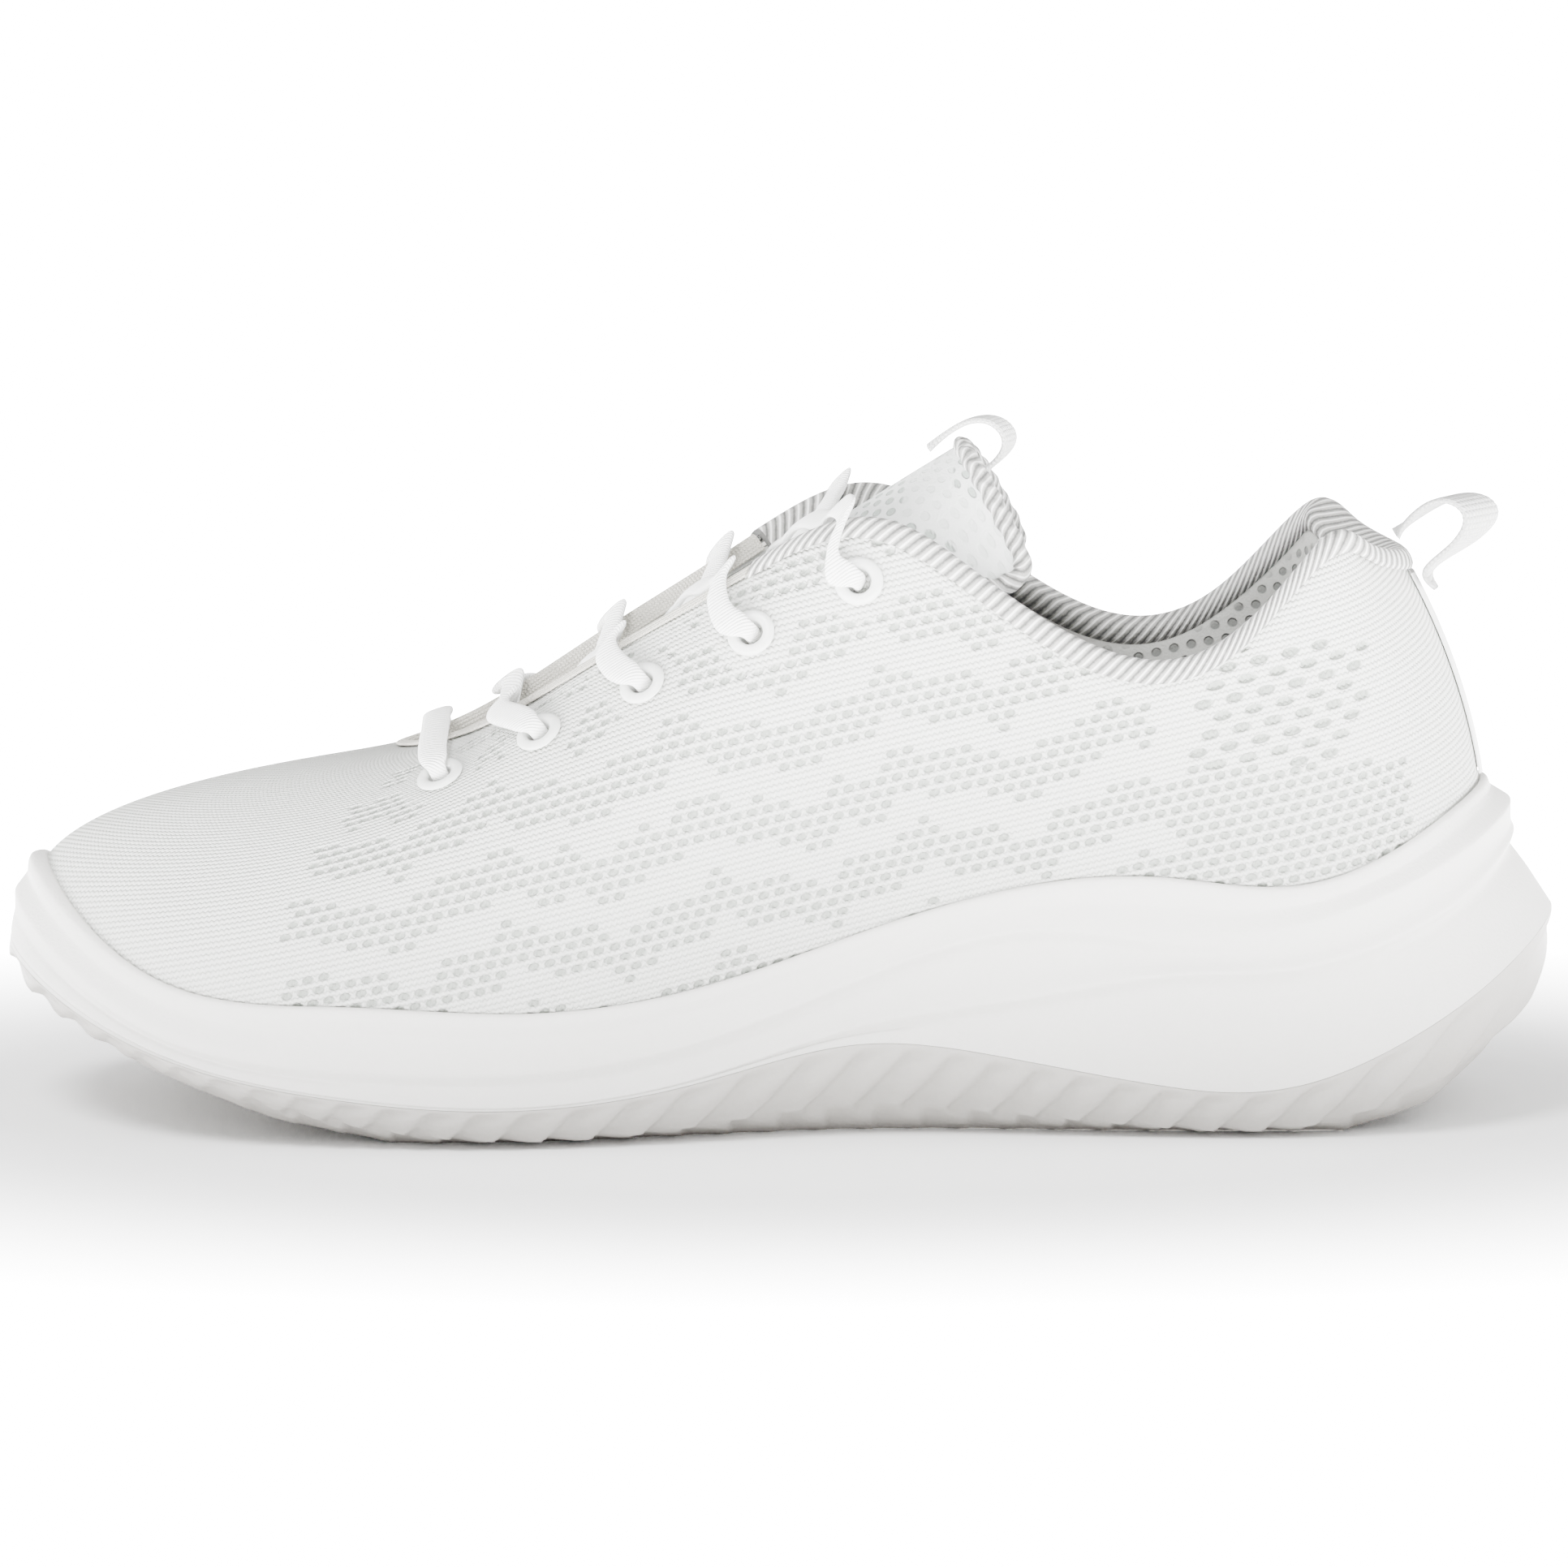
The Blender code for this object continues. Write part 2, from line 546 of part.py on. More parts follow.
def edge_wrap(name, columns, leg, thick, look):
    """Folded strip over the opening's edge: outer leg, crown and inner leg."""
    loops = []
    for c in columns:
        rim_depth = lining_depth(c, EDGE_ROW) + LINING_THICK
        row_length = np.linalg.norm(on_upper(c, EDGE_ROW, 0) - on_upper(c, EDGE_ROW - 1, 0))
        low_depth = lining_depth(c, EDGE_ROW - leg / row_length) + LINING_THICK
        gap = WRAP_CLEARANCE
        outline = [
            (-leg, -gap), (-leg, -gap - thick), (gap, -gap - thick), (gap + thick, rim_depth * 0.2),
            (gap + thick, rim_depth * 0.8), (gap, rim_depth + gap + thick),
            (-leg, low_depth + gap + thick), (-leg, low_depth + gap), (gap, rim_depth + gap), (gap, -gap),
        ]
        loops.append([edge_point(c, a, d) for a, d in outline])
    return make_object(name, *rings_solid(loops, False), look)


def throat_piping(columns, look):
    """Edging of the lacing opening: one leg on the outside and a crown over the edge."""
    loops = []
    gap = WRAP_CLEARANCE
    thick = PIPING_THICK
    for c in columns:
        outline = [
            (-TAPE_LEG, -gap), (-TAPE_LEG, -gap - thick), (gap, -gap - thick), (gap + thick, 0),
            (gap + thick, STACK - 0.0004), (gap, STACK - 0.0004), (gap, -gap),
        ]
        loops.append([edge_point(c, a, d) for a, d in outline])
    return make_object("throat_tape", *rings_solid(loops, False), look)


def build_edges():
    collar = column_range(-COLLAR_END, COLLAR_END)
    collar = [-COLLAR_END * PER_STATION] + collar + [COLLAR_END * PER_STATION]
    edge_wrap("collar_binding", collar, BINDING_LEG, BINDING_THICK,
              material("collar_binding", (0.50, 0.49, 0.47), 0.8))
    start = COLLAR_END + 0.04
    throat = column_range(start + 0.1, STATIONS - start - 0.1)
    throat = [start * PER_STATION] + throat + [(STATIONS - start) * PER_STATION]
    throat_piping(throat, material("throat_tape", (0.80, 0.77, 0.68), 0.7))
    half = HEEL_STAY_WIDTH / 2 / np.linalg.norm(GRID[1, 5] - GRID[0, 5])
    rows = (RIM_ROW + 0.15, 3, 4, 5, 6, 7, 7.1)
    outer = [[on_upper(c, r, -CLEARANCE - 0.0007) for r in rows] for c in (-half, 0, half)]
    inner = [[on_upper(c, r, -CLEARANCE) for r in rows] for c in (-half, 0, half)]
    make_object("heel_stay", *solid_between(outer, inner, False),
                material("heel_stay", (0.86, 0.86, 0.85), 0.6))


# ---- tongue ----
# Under the throat: station of the edge above, station and share of the wing's edge, crown and
# extra depth in mm; the extra depth leaves room for the collar binding's inner leg.
TONGUE_UNDER = [
    (9.45, 8.85, 0.83, 0.2, 0), (8.8, 8.35, 0.81, 1.0, 0), (8.0, 7.6, 0.82, 1.8, 0),
    (7.2, 6.85, 0.83, 2.6, 0.4), (6.35, 6.1, 0.92, 3.2, 1.6),
]
# Its sewn front end: stations and shares across, under the vamp.
TONGUE_BASE = [(8.7, 0.79), (9.3, 0.84), (10.0, 0.885), (10.7, 0.84), (11.3, 0.79)]
# Free top, millimetres: for each row the centre, shoulder and wing (y is mirrored).
TONGUE_TOP = [
    ((23, 0, 120), (27, 13.5, 117), (36, 21.5, 103)),
    ((34, 0, 126.8), (37, 13, 122.5), (46, 21, 106.5)),
]


def below_upper(u, s, depth):
    at = np.array([u])
    return upper_point(at, s)[0] - upper_normal(at, s)[0] * depth


def tongue_sections():
    """Rows of five points across the tongue's outer face, from its sewn end to its top."""
    rows = [[below_upper(u, s, TONGUE_DEPTH) for u, s in TONGUE_BASE]]
    for edge, wing, share, crown, extra in TONGUE_UNDER:
        depth = TONGUE_DEPTH + extra * MM
        near = [below_upper(wing, share, depth), below_upper(edge, 1.0, depth)]
        far = [below_upper(STATIONS - edge, 1.0, depth), below_upper(STATIONS - wing, share, depth)]
        middle = (near[1] + far[0]) / 2 + np.array([-0.35, 0, 1]) * crown * MM
        rows.append(near + [middle] + far)
    for centre, shoulder, wing in TONGUE_TOP:
        mirrored = [(wing, -1), (shoulder, -1), (centre, 1), (shoulder, 1), (wing, 1)]
        rows.append([np.array([p[0], p[1] * k, p[2]]) * SCALE for p, k in mirrored])
    return np.array(rows)


TONGUE_ROWS = tongue_sections()


def tongue_point(a, v):
    """Outer face of the tongue: a = 0 at its base and 1 at its top, v = -1 to 1 across."""
    line = open_spline(TONGUE_ROWS.reshape(len(TONGUE_ROWS), -1), [a])[0].reshape(5, 3)
    return open_spline(line, [(v + 1) / 2])[0]


def tongue_normal(a, v):
    h = 0.01
    a0, a1 = max(a - h, 0), min(a + h, 1)
    v0, v1 = max(v - h, -1), min(v + h, 1)
    along = tongue_point(a1, v) - tongue_point(a0, v)
    across = tongue_point(a, v1) - tongue_point(a, v0)
    return unit(np.cross(along, across))


TONGUE_A = [0, 0.08, 0.16, 0.27, 0.38, 0.49, 0.60, 0.71, 0.81, 0.90, 0.965, 1.0]
TONGUE_V = [-1, -0.75, -0.5, -0.25, 0, 0.25, 0.5, 0.75, 1]
TONGUE_SKIN = 0.0010


def tongue_edge_share(a, v):
    """0 at the tongue's free edges and 1 a little way in, so that the foam thins out there."""
    return smooth_step(0.25, 0.6, 1 - abs(v)) * smooth_step(0.035, 0.14, 1 - a) * smooth_step(-0.05, 0.5, a)


def tongue_layer(name, top, bottom, look, hinge):
    outer = [[tongue_point(a, v) - tongue_normal(a, v) * top(a, v) for v in TONGUE_V] for a in TONGUE_A]
    inner = [[tongue_point(a, v) - tongue_normal(a, v) * bottom(a, v) for v in TONGUE_V] for a in TONGUE_A]
    return make_object(name, *solid_between(outer, inner, False), look, hinge)


def foam_bottom(a, v):
    return TONGUE_SKIN + CLEARANCE + 0.0008 + TONGUE_PADDING * tongue_edge_share(a, v)


def build_tongue():
    hinge = TONGUE_ROWS[0][2] - np.array([0, 0, STACK])
    root = bpy.data.objects.new("tongue_hinge_axis", None)
    root.location = hinge
    bpy.context.collection.objects.link(root)
    foam_top = TONGUE_SKIN + CLEARANCE
    parts = [
        tongue_layer("tongue_mesh", lambda a, v: 0, lambda a, v: TONGUE_SKIN,
                     material("tongue_mesh", (0.76, 0.78, 0.76), 0.9), hinge),
        tongue_layer("tongue_foam", lambda a, v: foam_top, foam_bottom,
                     material("tongue_foam", (0.80, 0.78, 0.70), 0.9), hinge),
        tongue_layer("tongue_lining", lambda a, v: foam_bottom(a, v) + CLEARANCE,
                     lambda a, v: foam_bottom(a, v) + CLEARANCE + TONGUE_SKIN,
                     material("tongue_lining", (0.66, 0.67, 0.65), 0.9), hinge),
        tongue_binding(hinge),
        tongue_loop(),
    ]
    for part in parts:
        part.location = part.location - root.location
        part.parent = root


def tongue_rim_route():
    """Where the binding runs on the tongue: up one wing, over the top and down the other."""
    wing = [(a, -1) for a in TONGUE_A[8:-1]]
    top = [(1.0, v) for v in TONGUE_V[1:-1]]
    return wing + [(1.0, -1)] + top + [(1.0, 1)] + [(a, 1) for a, _ in reversed(wing)]


def tongue_binding(hinge):
    leg = 0.0028
    thick = BINDING_THICK
    route = tongue_rim_route()
    loops = []
    for a, v in route:
        place = tongue_point(a, v)
        normal = tongue_normal(a, v)
        inward = tongue_inward(a, v)
        depth = foam_bottom(a, v) + CLEARANCE + TONGUE_SKIN
        far = depth + 0.0003
        gap = WRAP_CLEARANCE
        outline = [
            (leg, -gap), (leg, -gap - thick), (-gap, -gap - thick), (-gap - thick, depth * 0.2),
            (-gap - thick, depth * 0.8), (-gap, depth + gap + thick), (leg, far + gap + thick),
            (leg, far + gap), (-gap, depth + gap), (-gap, -gap),
        ]
        loops.append([place + inward * x - normal * y for x, y in outline])
    return make_object("tongue_binding", *rings_solid(loops, False),
                       material("tongue_binding", (0.50, 0.49, 0.47), 0.8), hinge)


def tongue_inward(a, v):
    """Direction in the tongue's face from its edge towards its middle; corners take both ways."""
    h = 0.02
    inward = np.zeros(3)
    if abs(v) == 1:
        inward = inward + unit(tongue_point(a, v * (1 - h)) - tongue_point(a, v))
    if a == 1.0:
        inward = inward + unit(tongue_point(1 - h, v) - tongue_point(1, v))
    return inward


def ribbon_loop(centre, across, out, width, thick):
    """Flat-oval section of six points."""
    pairs = ((-0.5, 0), (-0.38, 0.5), (0.38, 0.5), (0.5, 0), (0.38, -0.5), (-0.38, -0.5))
    return [centre + across * width * x + out * thick * y for x, y in pairs]


def ribbon(name, centres, across, width, thick, look, origin=(0, 0, 0)):
    """Webbing along a route that keeps one sideways direction."""
    loops = []
    for i, centre in enumerate(centres):
        ahead = centres[min(i + 1, len(centres) - 1)] - centres[max(i - 1, 0)]
        out = unit(np.cross(ahead, across))
        loops.append(ribbon_loop(centre, across, out, width, thick))
    return make_object(name, *rings_solid(loops, False), look, origin)


def tongue_loop():
    """Small webbing loop standing over the middle of the tongue's top edge."""
    top = tongue_point(1, 0)
    normal = tongue_normal(1, 0)
    ahead = -tongue_inward(1.0, 0)
    stand = BINDING_THICK + WRAP_CLEARANCE + 2 * CLEARANCE + WEBBING_THICK / 2
    depth = foam_bottom(1, 0) + CLEARANCE + TONGUE_SKIN
    route = [
        top - ahead * 0.0055 + normal * stand, top - ahead * 0.001 + normal * (stand + 0.0006),
        top + ahead * 0.0040 + normal * (stand + 0.0003), top + ahead * 0.0078 + normal * 0.0005,
        top + ahead * 0.0088 - normal * 0.0030, top + ahead * 0.0070 - normal * (depth + 0.0020),
        top + ahead * 0.0030 - normal * (depth + stand + 0.0006),
        top - ahead * 0.0020 - normal * (depth + stand + 0.0009),
    ]
    points = open_spline(route, np.linspace(0, 1, 15))
    return ribbon("tongue_pull_loop", points, np.array([0.0, 1.0, 0.0]), TONGUE_LOOP_WIDTH, WEBBING_THICK,
                  material("tongue_webbing", (0.72, 0.71, 0.68), 0.8), top - ahead * TONGUE_LOOP_FOLD)


def build_heel_loop():
    """Webbing loop over the top of the back seam; it folds about its lower, sewn end."""
    edge = on_upper(0, EDGE_ROW, 0)
    lift = BINDING_THICK + 2 * CLEARANCE + WEBBING_THICK / 2
    stay = [on_upper(0, r, -CLEARANCE - 0.0007 - lift) for r in (6.4, 7.0, 7.4)]
    front = edge + np.array([-0.0006, 0, lift + 0.0016])
    route = [
        front, edge + np.array([0.0022, 0, 0.0062]), edge + np.array([0.0075, 0, 0.0098]),
        edge + np.array([0.0128, 0, 0.0102]), edge + np.array([0.0155, 0, 0.0070]),
        edge + np.array([0.0122, 0, 0.0020]), stay[1] + np.array([0.0012, 0, 0]), stay[0],
    ]
    points = open_spline(route, np.linspace(0, 1, 17))
    ribbon("heel_pull_loop", points, np.array([0.0, 1.0, 0.0]), HEEL_LOOP_WIDTH, WEBBING_THICK,
           material("heel_webbing", (0.84, 0.84, 0.83), 0.7), stay[0])


# ---- lace ----
def edge_station(start, end, side):
    """Station where the straight line from start to end crosses the throat edge on this side."""
    stations = np.linspace(5.9, 9.9, 161)
    stations = stations if side == INNER else STATIONS - stations
    edge = upper_point(stations, 1.0)
    way = end - start
    cross = (edge[:, 0] - start[0]) * way[1] - (edge[:, 1] - start[1]) * way[0]
    return float(stations[np.argmin(np.abs(cross))])


def lace_ring(centre, across, out, width=LACE_WIDTH):
    return ribbon_loop(centre, unit(across), unit(out), width, LACE_THICK)


LACE_IN_HOLE = EYELET_BORE * 0.72


def into_eyelet(side, index, coming):
    """Rings that bend the lace from the face down into an eyelet; coming is its travel direction."""
    centre, normal, _ = eyelet_frame(side, index)
    travel = unit(coming - normal * np.dot(coming, normal))
    across = np.cross(normal, travel)
    half = LACE_THICK / 2
    return [
        lace_ring(centre + normal * LACE_OVER - travel * 0.0052, across, normal),
        lace_ring(centre + normal * LACE_OVER - travel * 0.0024, across, normal, LACE_WIDTH * 0.9),
        lace_ring(centre + normal * (LACE_OVER - 0.25 * half) - travel * 0.0007, across,
                  normal + travel * 0.5, LACE_IN_HOLE * 1.08),
        lace_ring(centre + normal * (LACE_OVER - 0.0012) + travel * 0.0001, across,
                  travel + normal * 0.25, LACE_IN_HOLE),
        lace_ring(centre - normal * STACK * 0.45, across, travel, LACE_IN_HOLE),
    ]


def out_of_eyelet(side, index, leaving, across_in):
    """Rings under the eyelet that turn the lace back towards the throat; leaving is its direction."""
    centre, normal, _ = eyelet_frame(side, index)
    travel = unit(leaving - normal * np.dot(leaving, normal))
    across = -np.cross(normal, travel)
    middle = unit(across + across_in)
    return [
        lace_ring(centre - normal * (STACK - 0.0001), middle, -travel, LACE_IN_HOLE),
        lace_ring(centre - normal * (LACE_UNDER - 0.0001) + travel * 0.0006, across,
                  -travel - normal, LACE_IN_HOLE),
        lace_ring(centre - normal * LACE_UNDER + travel * 0.0030, across, -normal, LACE_WIDTH * 0.8),
    ]


# Height of a crossing strand above the tongue along its way: share of the way, lower and upper (mm).
STRAND_LIFT = [
    (0.15, 0.2, 0.2), (0.36, 0, 1.3), (0.5, 0, 1.65), (0.62, 0.3, 1.9), (0.75, 2.4, 3.2), (0.88, 4.6, 5.0),
]
STRAND_CLEAR = 0.0005     # extra room under a strand where it lies on the tongue


def tongue_samples():
    """A fine net of points and normals on the tongue, for reading its height in plan."""
    places = []
    normals = []
    for a in np.linspace(0.05, 0.85, 81):
        for v in np.linspace(-0.8, 0.8, 41):
            places.append(tongue_point(a, v))
            normals.append(tongue_normal(a, v))
    return np.array(places), np.array(normals)


TONGUE_NET, TONGUE_NET_N = tongue_samples()


def above_tongue(plan, lift):
    """Point straight above a plan position, lift off the tongue's face, and the normal there."""
    away = np.linalg.norm(TONGUE_NET[:, :2] - plan, axis=1)
    weight = 1 / (away**4 + 1e-14)
    share = (weight / weight.sum())[:, None]
    normal = unit((TONGUE_NET_N * share).sum(0))
    ground = (TONGUE_NET * share).sum(0)
    slope = normal[:2] / normal[2]
    height = ground[2] - np.dot(slope, plan - ground[:2])
    return np.array([plan[0], plan[1], height + lift / normal[2]]), normal


def edge_rings(u, places):
    """Points by the throat edge at station u: each place is along the edge's facet and its height."""
    out = upper_normal(np.array([u]), 1.0)[0]
    inward = unit(on_face(u, 1.0, 0) - on_face(u, 0.97, 0))
    return [(on_face(u, 1.0, 0) + inward * along + out * height, out) for along, height in places]


OVER_EDGE = WRAP_CLEARANCE + BINDING_THICK + CLEARANCE + LACE_THICK / 2 + 0.0009


def crossing(side, index, raised):
    """Rings from under eyelet index on one side, over the tongue, to above the next on the other."""
    start = eyelet_frame(side, index)[0]
    end = eyelet_frame(-side, index + 1)[0]
    travel = end - start
    leave = edge_station(start, end, side)
    arrive = edge_station(start, end, -side)
    near = leave if side == INNER else STATIONS - leave
    bound = (WRAP_CLEARANCE + BINDING_THICK) * smooth_step(COLLAR_END + 0.25, COLLAR_END + 0.1, near)
    rings = edge_rings(leave, [(-0.0010, -LACE_UNDER - bound), (0.0018, -LACE_UNDER + 0.0002 - bound)])
    landing = [(0.0032, OVER_EDGE), (-0.0004, OVER_EDGE), (-0.0034, OVER_EDGE - 0.0004)]
    over = edge_rings(arrive, landing)
    for share, low, high in STRAND_LIFT:
        plan = rings[1][0][:2] * (1 - share) + over[0][0][:2] * share
        lift = CLEARANCE + LACE_THICK / 2 + STRAND_CLEAR + (high if raised else low) * MM
        rings.append(above_tongue(plan, lift))
    rings += over
    loops = []
    for centre, out in rings:
        flat_travel = travel - out * np.dot(travel, out)
        loops.append(lace_ring(centre, -np.cross(out, unit(flat_travel)), out))
    return loops


def front_bar():
    """Straight bar at the toe end, from the inner first eyelet across to the outer one."""
    start = eyelet_frame(INNER, 0)[0]
    end = eyelet_frame(OUTER, 0)[0]
    way = end - start
    rings = []
    for side in (INNER, OUTER):
        at = np.array([edge_station(start, end, side)])
        normal = upper_normal(at, 1.0)[0]
        rings.append((on_face(float(at[0]), 1.0, 0) + normal * OVER_EDGE, normal))
    middle = (rings[0][0] + rings[1][0]) / 2 + np.array([0, 0, 0.0012])
    rings.insert(1, (middle, unit(rings[0][1] + rings[1][1])))
    return [lace_ring(c, -np.cross(n, unit(way - n * np.dot(way, n))), n) for c, n in rings]


def half_lace(side):
    """Rings of one half of the lace, from its first eyelet on this side up to its last."""
    loops = []
    here = side
    coming = eyelet_frame(side, 0)[0] - eyelet_frame(-side, 0)[0]
    for index in range(len(EYELETS)):
        centre, normal, _ = eyelet_frame(here, index)
        loops += into_eyelet(here, index, coming)
        if index == len(EYELETS) - 1:
            travel = unit(coming - normal * np.dot(coming, normal))
            across = np.cross(normal, travel)
            loops.append(lace_ring(centre - normal * (STACK + CLEARANCE), across, travel, LACE_IN_HOLE))
            break
        travel = unit(coming - normal * np.dot(coming, normal))
        leaving = eyelet_frame(-here, index + 1)[0] - centre
        loops += out_of_eyelet(here, index, leaving, np.cross(normal, travel))
        loops += crossing(here, index, side == (INNER if index % 2 else OUTER))
        coming = leaving
        here = -here
    return loops


def flip(loops):
    """The same rings met from the other end, with each ring's points in matching order."""
    turned = []
    for loop in reversed(loops):
        turned.append([loop[3], loop[2], loop[1], loop[0], loop[5], loop[4]])
    return turned


def build_lace():
    first = half_lace(INNER)
    second = half_lace(OUTER)
    loops = flip(first) + front_bar() + second
    make_object("lace", *rings_solid(loops, False), material("lace_cord", (0.92, 0.92, 0.91), 0.8))


# Each free lace end drops down the lining from the top eyelet, then lies along the footbed's edge.
# On the wall as station and height share, then on the footbed as x, y, z in mm (inner side).
LACE_END_WALL = [(5.86, 0.865), (5.84, 0.83), (5.72, 0.72), (5.52, 0.59), (5.24, 0.46), (4.88, 0.35)]
LACE_END_FLOOR = [(50, -22.5, 42), (62, -20.5, 42), (78, -19, 42.8), (94, -15.5, 43.6), (105, -10.5, 44)]
# The footbed doesn't get thinner with the shoe's height, so the ends on it are lifted by what it keeps.
FOOTBED_STACK = STROBEL_THICK + FOOTBED_THICK + FOOTBED_COVER + 2 * CLEARANCE + LACE_END_DIAMETER / 2
FLOOR_SHIFT = np.array([0, 0, FOOTBED_STACK * (1 - SCALE[2] / MM)])


def build_lace_ends():
    tube = material("lace_end_cord", (0.92, 0.92, 0.91), 0.8)
    cap = material("aglet_plastic", (0.85, 0.87, 0.88), 0.25)
    for side, word in ((INNER, "medial"), (OUTER, "lateral")):
        route = []
        for u, share in LACE_END_WALL:
            station = u if side == INNER else STATIONS - u
            column = station * PER_STATION
            row = float(np.interp(share, ROW_S[round(column) % COLUMNS], np.arange(EDGE_ROW + 1)))
            inside = lining_depth(column, row) + LINING_THICK
            route.append(on_face(station, share, inside + LACE_END_DIAMETER / 2 + 0.0014))
        mirror = np.array([1, -side, 1])
        route += [np.array(p) * mirror * SCALE + FLOOR_SHIFT for p in LACE_END_FLOOR]
        points = open_spline(route, np.linspace(0, 1, 30))
        curve = bpy.data.curves.new(f"lace_end_{word}", "CURVE")
        curve.dimensions = "3D"
        curve.bevel_depth = LACE_END_DIAMETER / 2
        curve.bevel_resolution = 2
        curve.use_fill_caps = True
        spline = curve.splines.new("POLY")
        spline.points.add(len(points) - 1)
        for knot, place in zip(spline.points, points):
            knot.co = (*place, 1)
        curve.materials.append(tube)
        cord = bpy.data.objects.new(f"lace_end_{word}", curve)
        bpy.context.collection.objects.link(cord)
        ahead = unit(points[-1] - points[-2])
        tip = points[-1] + ahead * CLEARANCE
        across = unit(np.cross(ahead, (0, 0, 1)))
        ring = [
            ring_points(tip + ahead * x, ahead, across, AGLET_DIAMETER / 2, 0, 10) for x in (0, AGLET_LENGTH)
        ]
        make_object(f"aglet_{word}", *rings_solid(ring, False), cap)


def centre_on_sole():
    """Move the whole shoe so that the middle of its sole is at x = 0, y = 0."""
    pieces = [bpy.data.objects[name].data for name in ("outsole", "midsole")]
    points = np.array([vertex.co for mesh in pieces for vertex in mesh.vertices])
    middle = (points.min(0) + points.max(0)) / 2
    for thing in bpy.data.objects:
        if thing.parent is None:
            thing.location.x -= middle[0]
            thing.location.y -= middle[1]


build_sole()
build_footbed()
build_upper()
build_edges()
build_eyelets()
build_tongue()
build_heel_loop()
build_lace()
build_lace_ends()
centre_on_sole()
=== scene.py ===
"""Looks of a knit running shoe for the right foot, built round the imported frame.

Metres; +X runs from toe to heel, -Y is the inner (medial) side, +Z is up. Shape tables are in millimetres.
"""
import json
import math

import bpy
import numpy as np
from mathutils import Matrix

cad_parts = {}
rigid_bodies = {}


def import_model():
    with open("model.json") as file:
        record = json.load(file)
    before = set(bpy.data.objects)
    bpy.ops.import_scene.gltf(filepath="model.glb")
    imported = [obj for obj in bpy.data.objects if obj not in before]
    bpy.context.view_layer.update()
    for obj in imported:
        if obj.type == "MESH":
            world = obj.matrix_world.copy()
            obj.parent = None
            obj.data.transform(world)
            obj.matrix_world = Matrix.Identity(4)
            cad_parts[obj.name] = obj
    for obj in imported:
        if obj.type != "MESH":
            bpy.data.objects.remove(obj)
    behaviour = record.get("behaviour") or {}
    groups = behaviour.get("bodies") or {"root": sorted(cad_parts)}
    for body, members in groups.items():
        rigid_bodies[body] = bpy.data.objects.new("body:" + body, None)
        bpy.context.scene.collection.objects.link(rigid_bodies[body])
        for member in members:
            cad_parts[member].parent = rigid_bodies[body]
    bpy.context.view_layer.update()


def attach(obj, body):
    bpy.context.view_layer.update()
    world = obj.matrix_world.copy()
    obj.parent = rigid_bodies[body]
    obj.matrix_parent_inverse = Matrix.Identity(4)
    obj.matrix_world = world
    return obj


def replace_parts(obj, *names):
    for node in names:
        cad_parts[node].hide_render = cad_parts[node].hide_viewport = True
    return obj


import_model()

MM = 0.001
CENTRE = np.array([0.000029, -0.0013, 0.0])    # how far the tables' origin is from the frame's
STATIONS = 20

# The upper, as stations round the foot from the back centre by the inner side to the toe. Each row:
# feather point on the sole, lower bulge, upper bulge, point on the opening's edge.
UPPER = [
    (131, 0, 36, 139, 0, 56, 129.5, 0, 86, 117.5, 0, 106),
    (121.5, -20, 35.5, 127.5, -25.5, 54, 119.5, -21.5, 88, 110, -17, 109),
    (98, -29.5, 34.5, 100, -38, 52, 103, -34, 92, 101.5, -25.5, 111),
    (70, -30, 33.5, 71, -37.5, 50, 82, -36, 80, 84, -33, 94),
    (42, -30, 31.5, 41, -38, 48, 58, -37, 76, 62, -33.5, 90.5),
    (14, -32, 28.5, 10, -40, 44, 35, -36, 88, 38, -30.5, 104),
    (-16, -38, 24, -22, -47, 38, 8, -33.5, 98, 16, -25, 115),
    (-48, -43.5, 19.5, -55, -53, 33, -20, -33.5, 84, -8, -20, 104),
    (-82, -43, 19.5, -89, -52, 33, -49, -31, 68.5, -34, -15.5, 88),
    (-118, -32.5, 26, -127, -40, 41, -78, -28, 60, -58, -10, 73.5),
    (-140, -3, 35, -153, -4, 54, -112, -2, 64.5, -71.5, 0, 69),
    (-122.5, 25.5, 27.5, -131, 32.5, 42, -79, 25.5, 60, -58, 10, 73.5),
    (-87, 41, 20.5, -93, 50, 34, -50, 30.5, 68.5, -34, 15.5, 88),
    (-52, 46, 19.5, -58, 55, 33, -21, 34.5, 84, -8, 20, 104),
    (-19, 44, 23.5, -24, 52.5, 38, 7, 36, 97.5, 16, 25, 115),
    (12, 38.5, 28, 10, 46.5, 43.5, 34, 37, 87, 38, 30.5, 103.5),
    (42, 34, 31.5, 42, 41.5, 47.5, 58, 37.5, 75, 62, 33.5, 89),
    (70, 31, 33.5, 71, 38.5, 50, 81.5, 36.5, 79.5, 84, 33, 93),
    (98, 29.5, 34.5, 101, 38, 52, 103, 34, 92, 101.5, 25.5, 111),
    (121.5, 20, 35.5, 127.5, 25.5, 54, 119.5, 21.5, 88, 110, 17, 109),
]
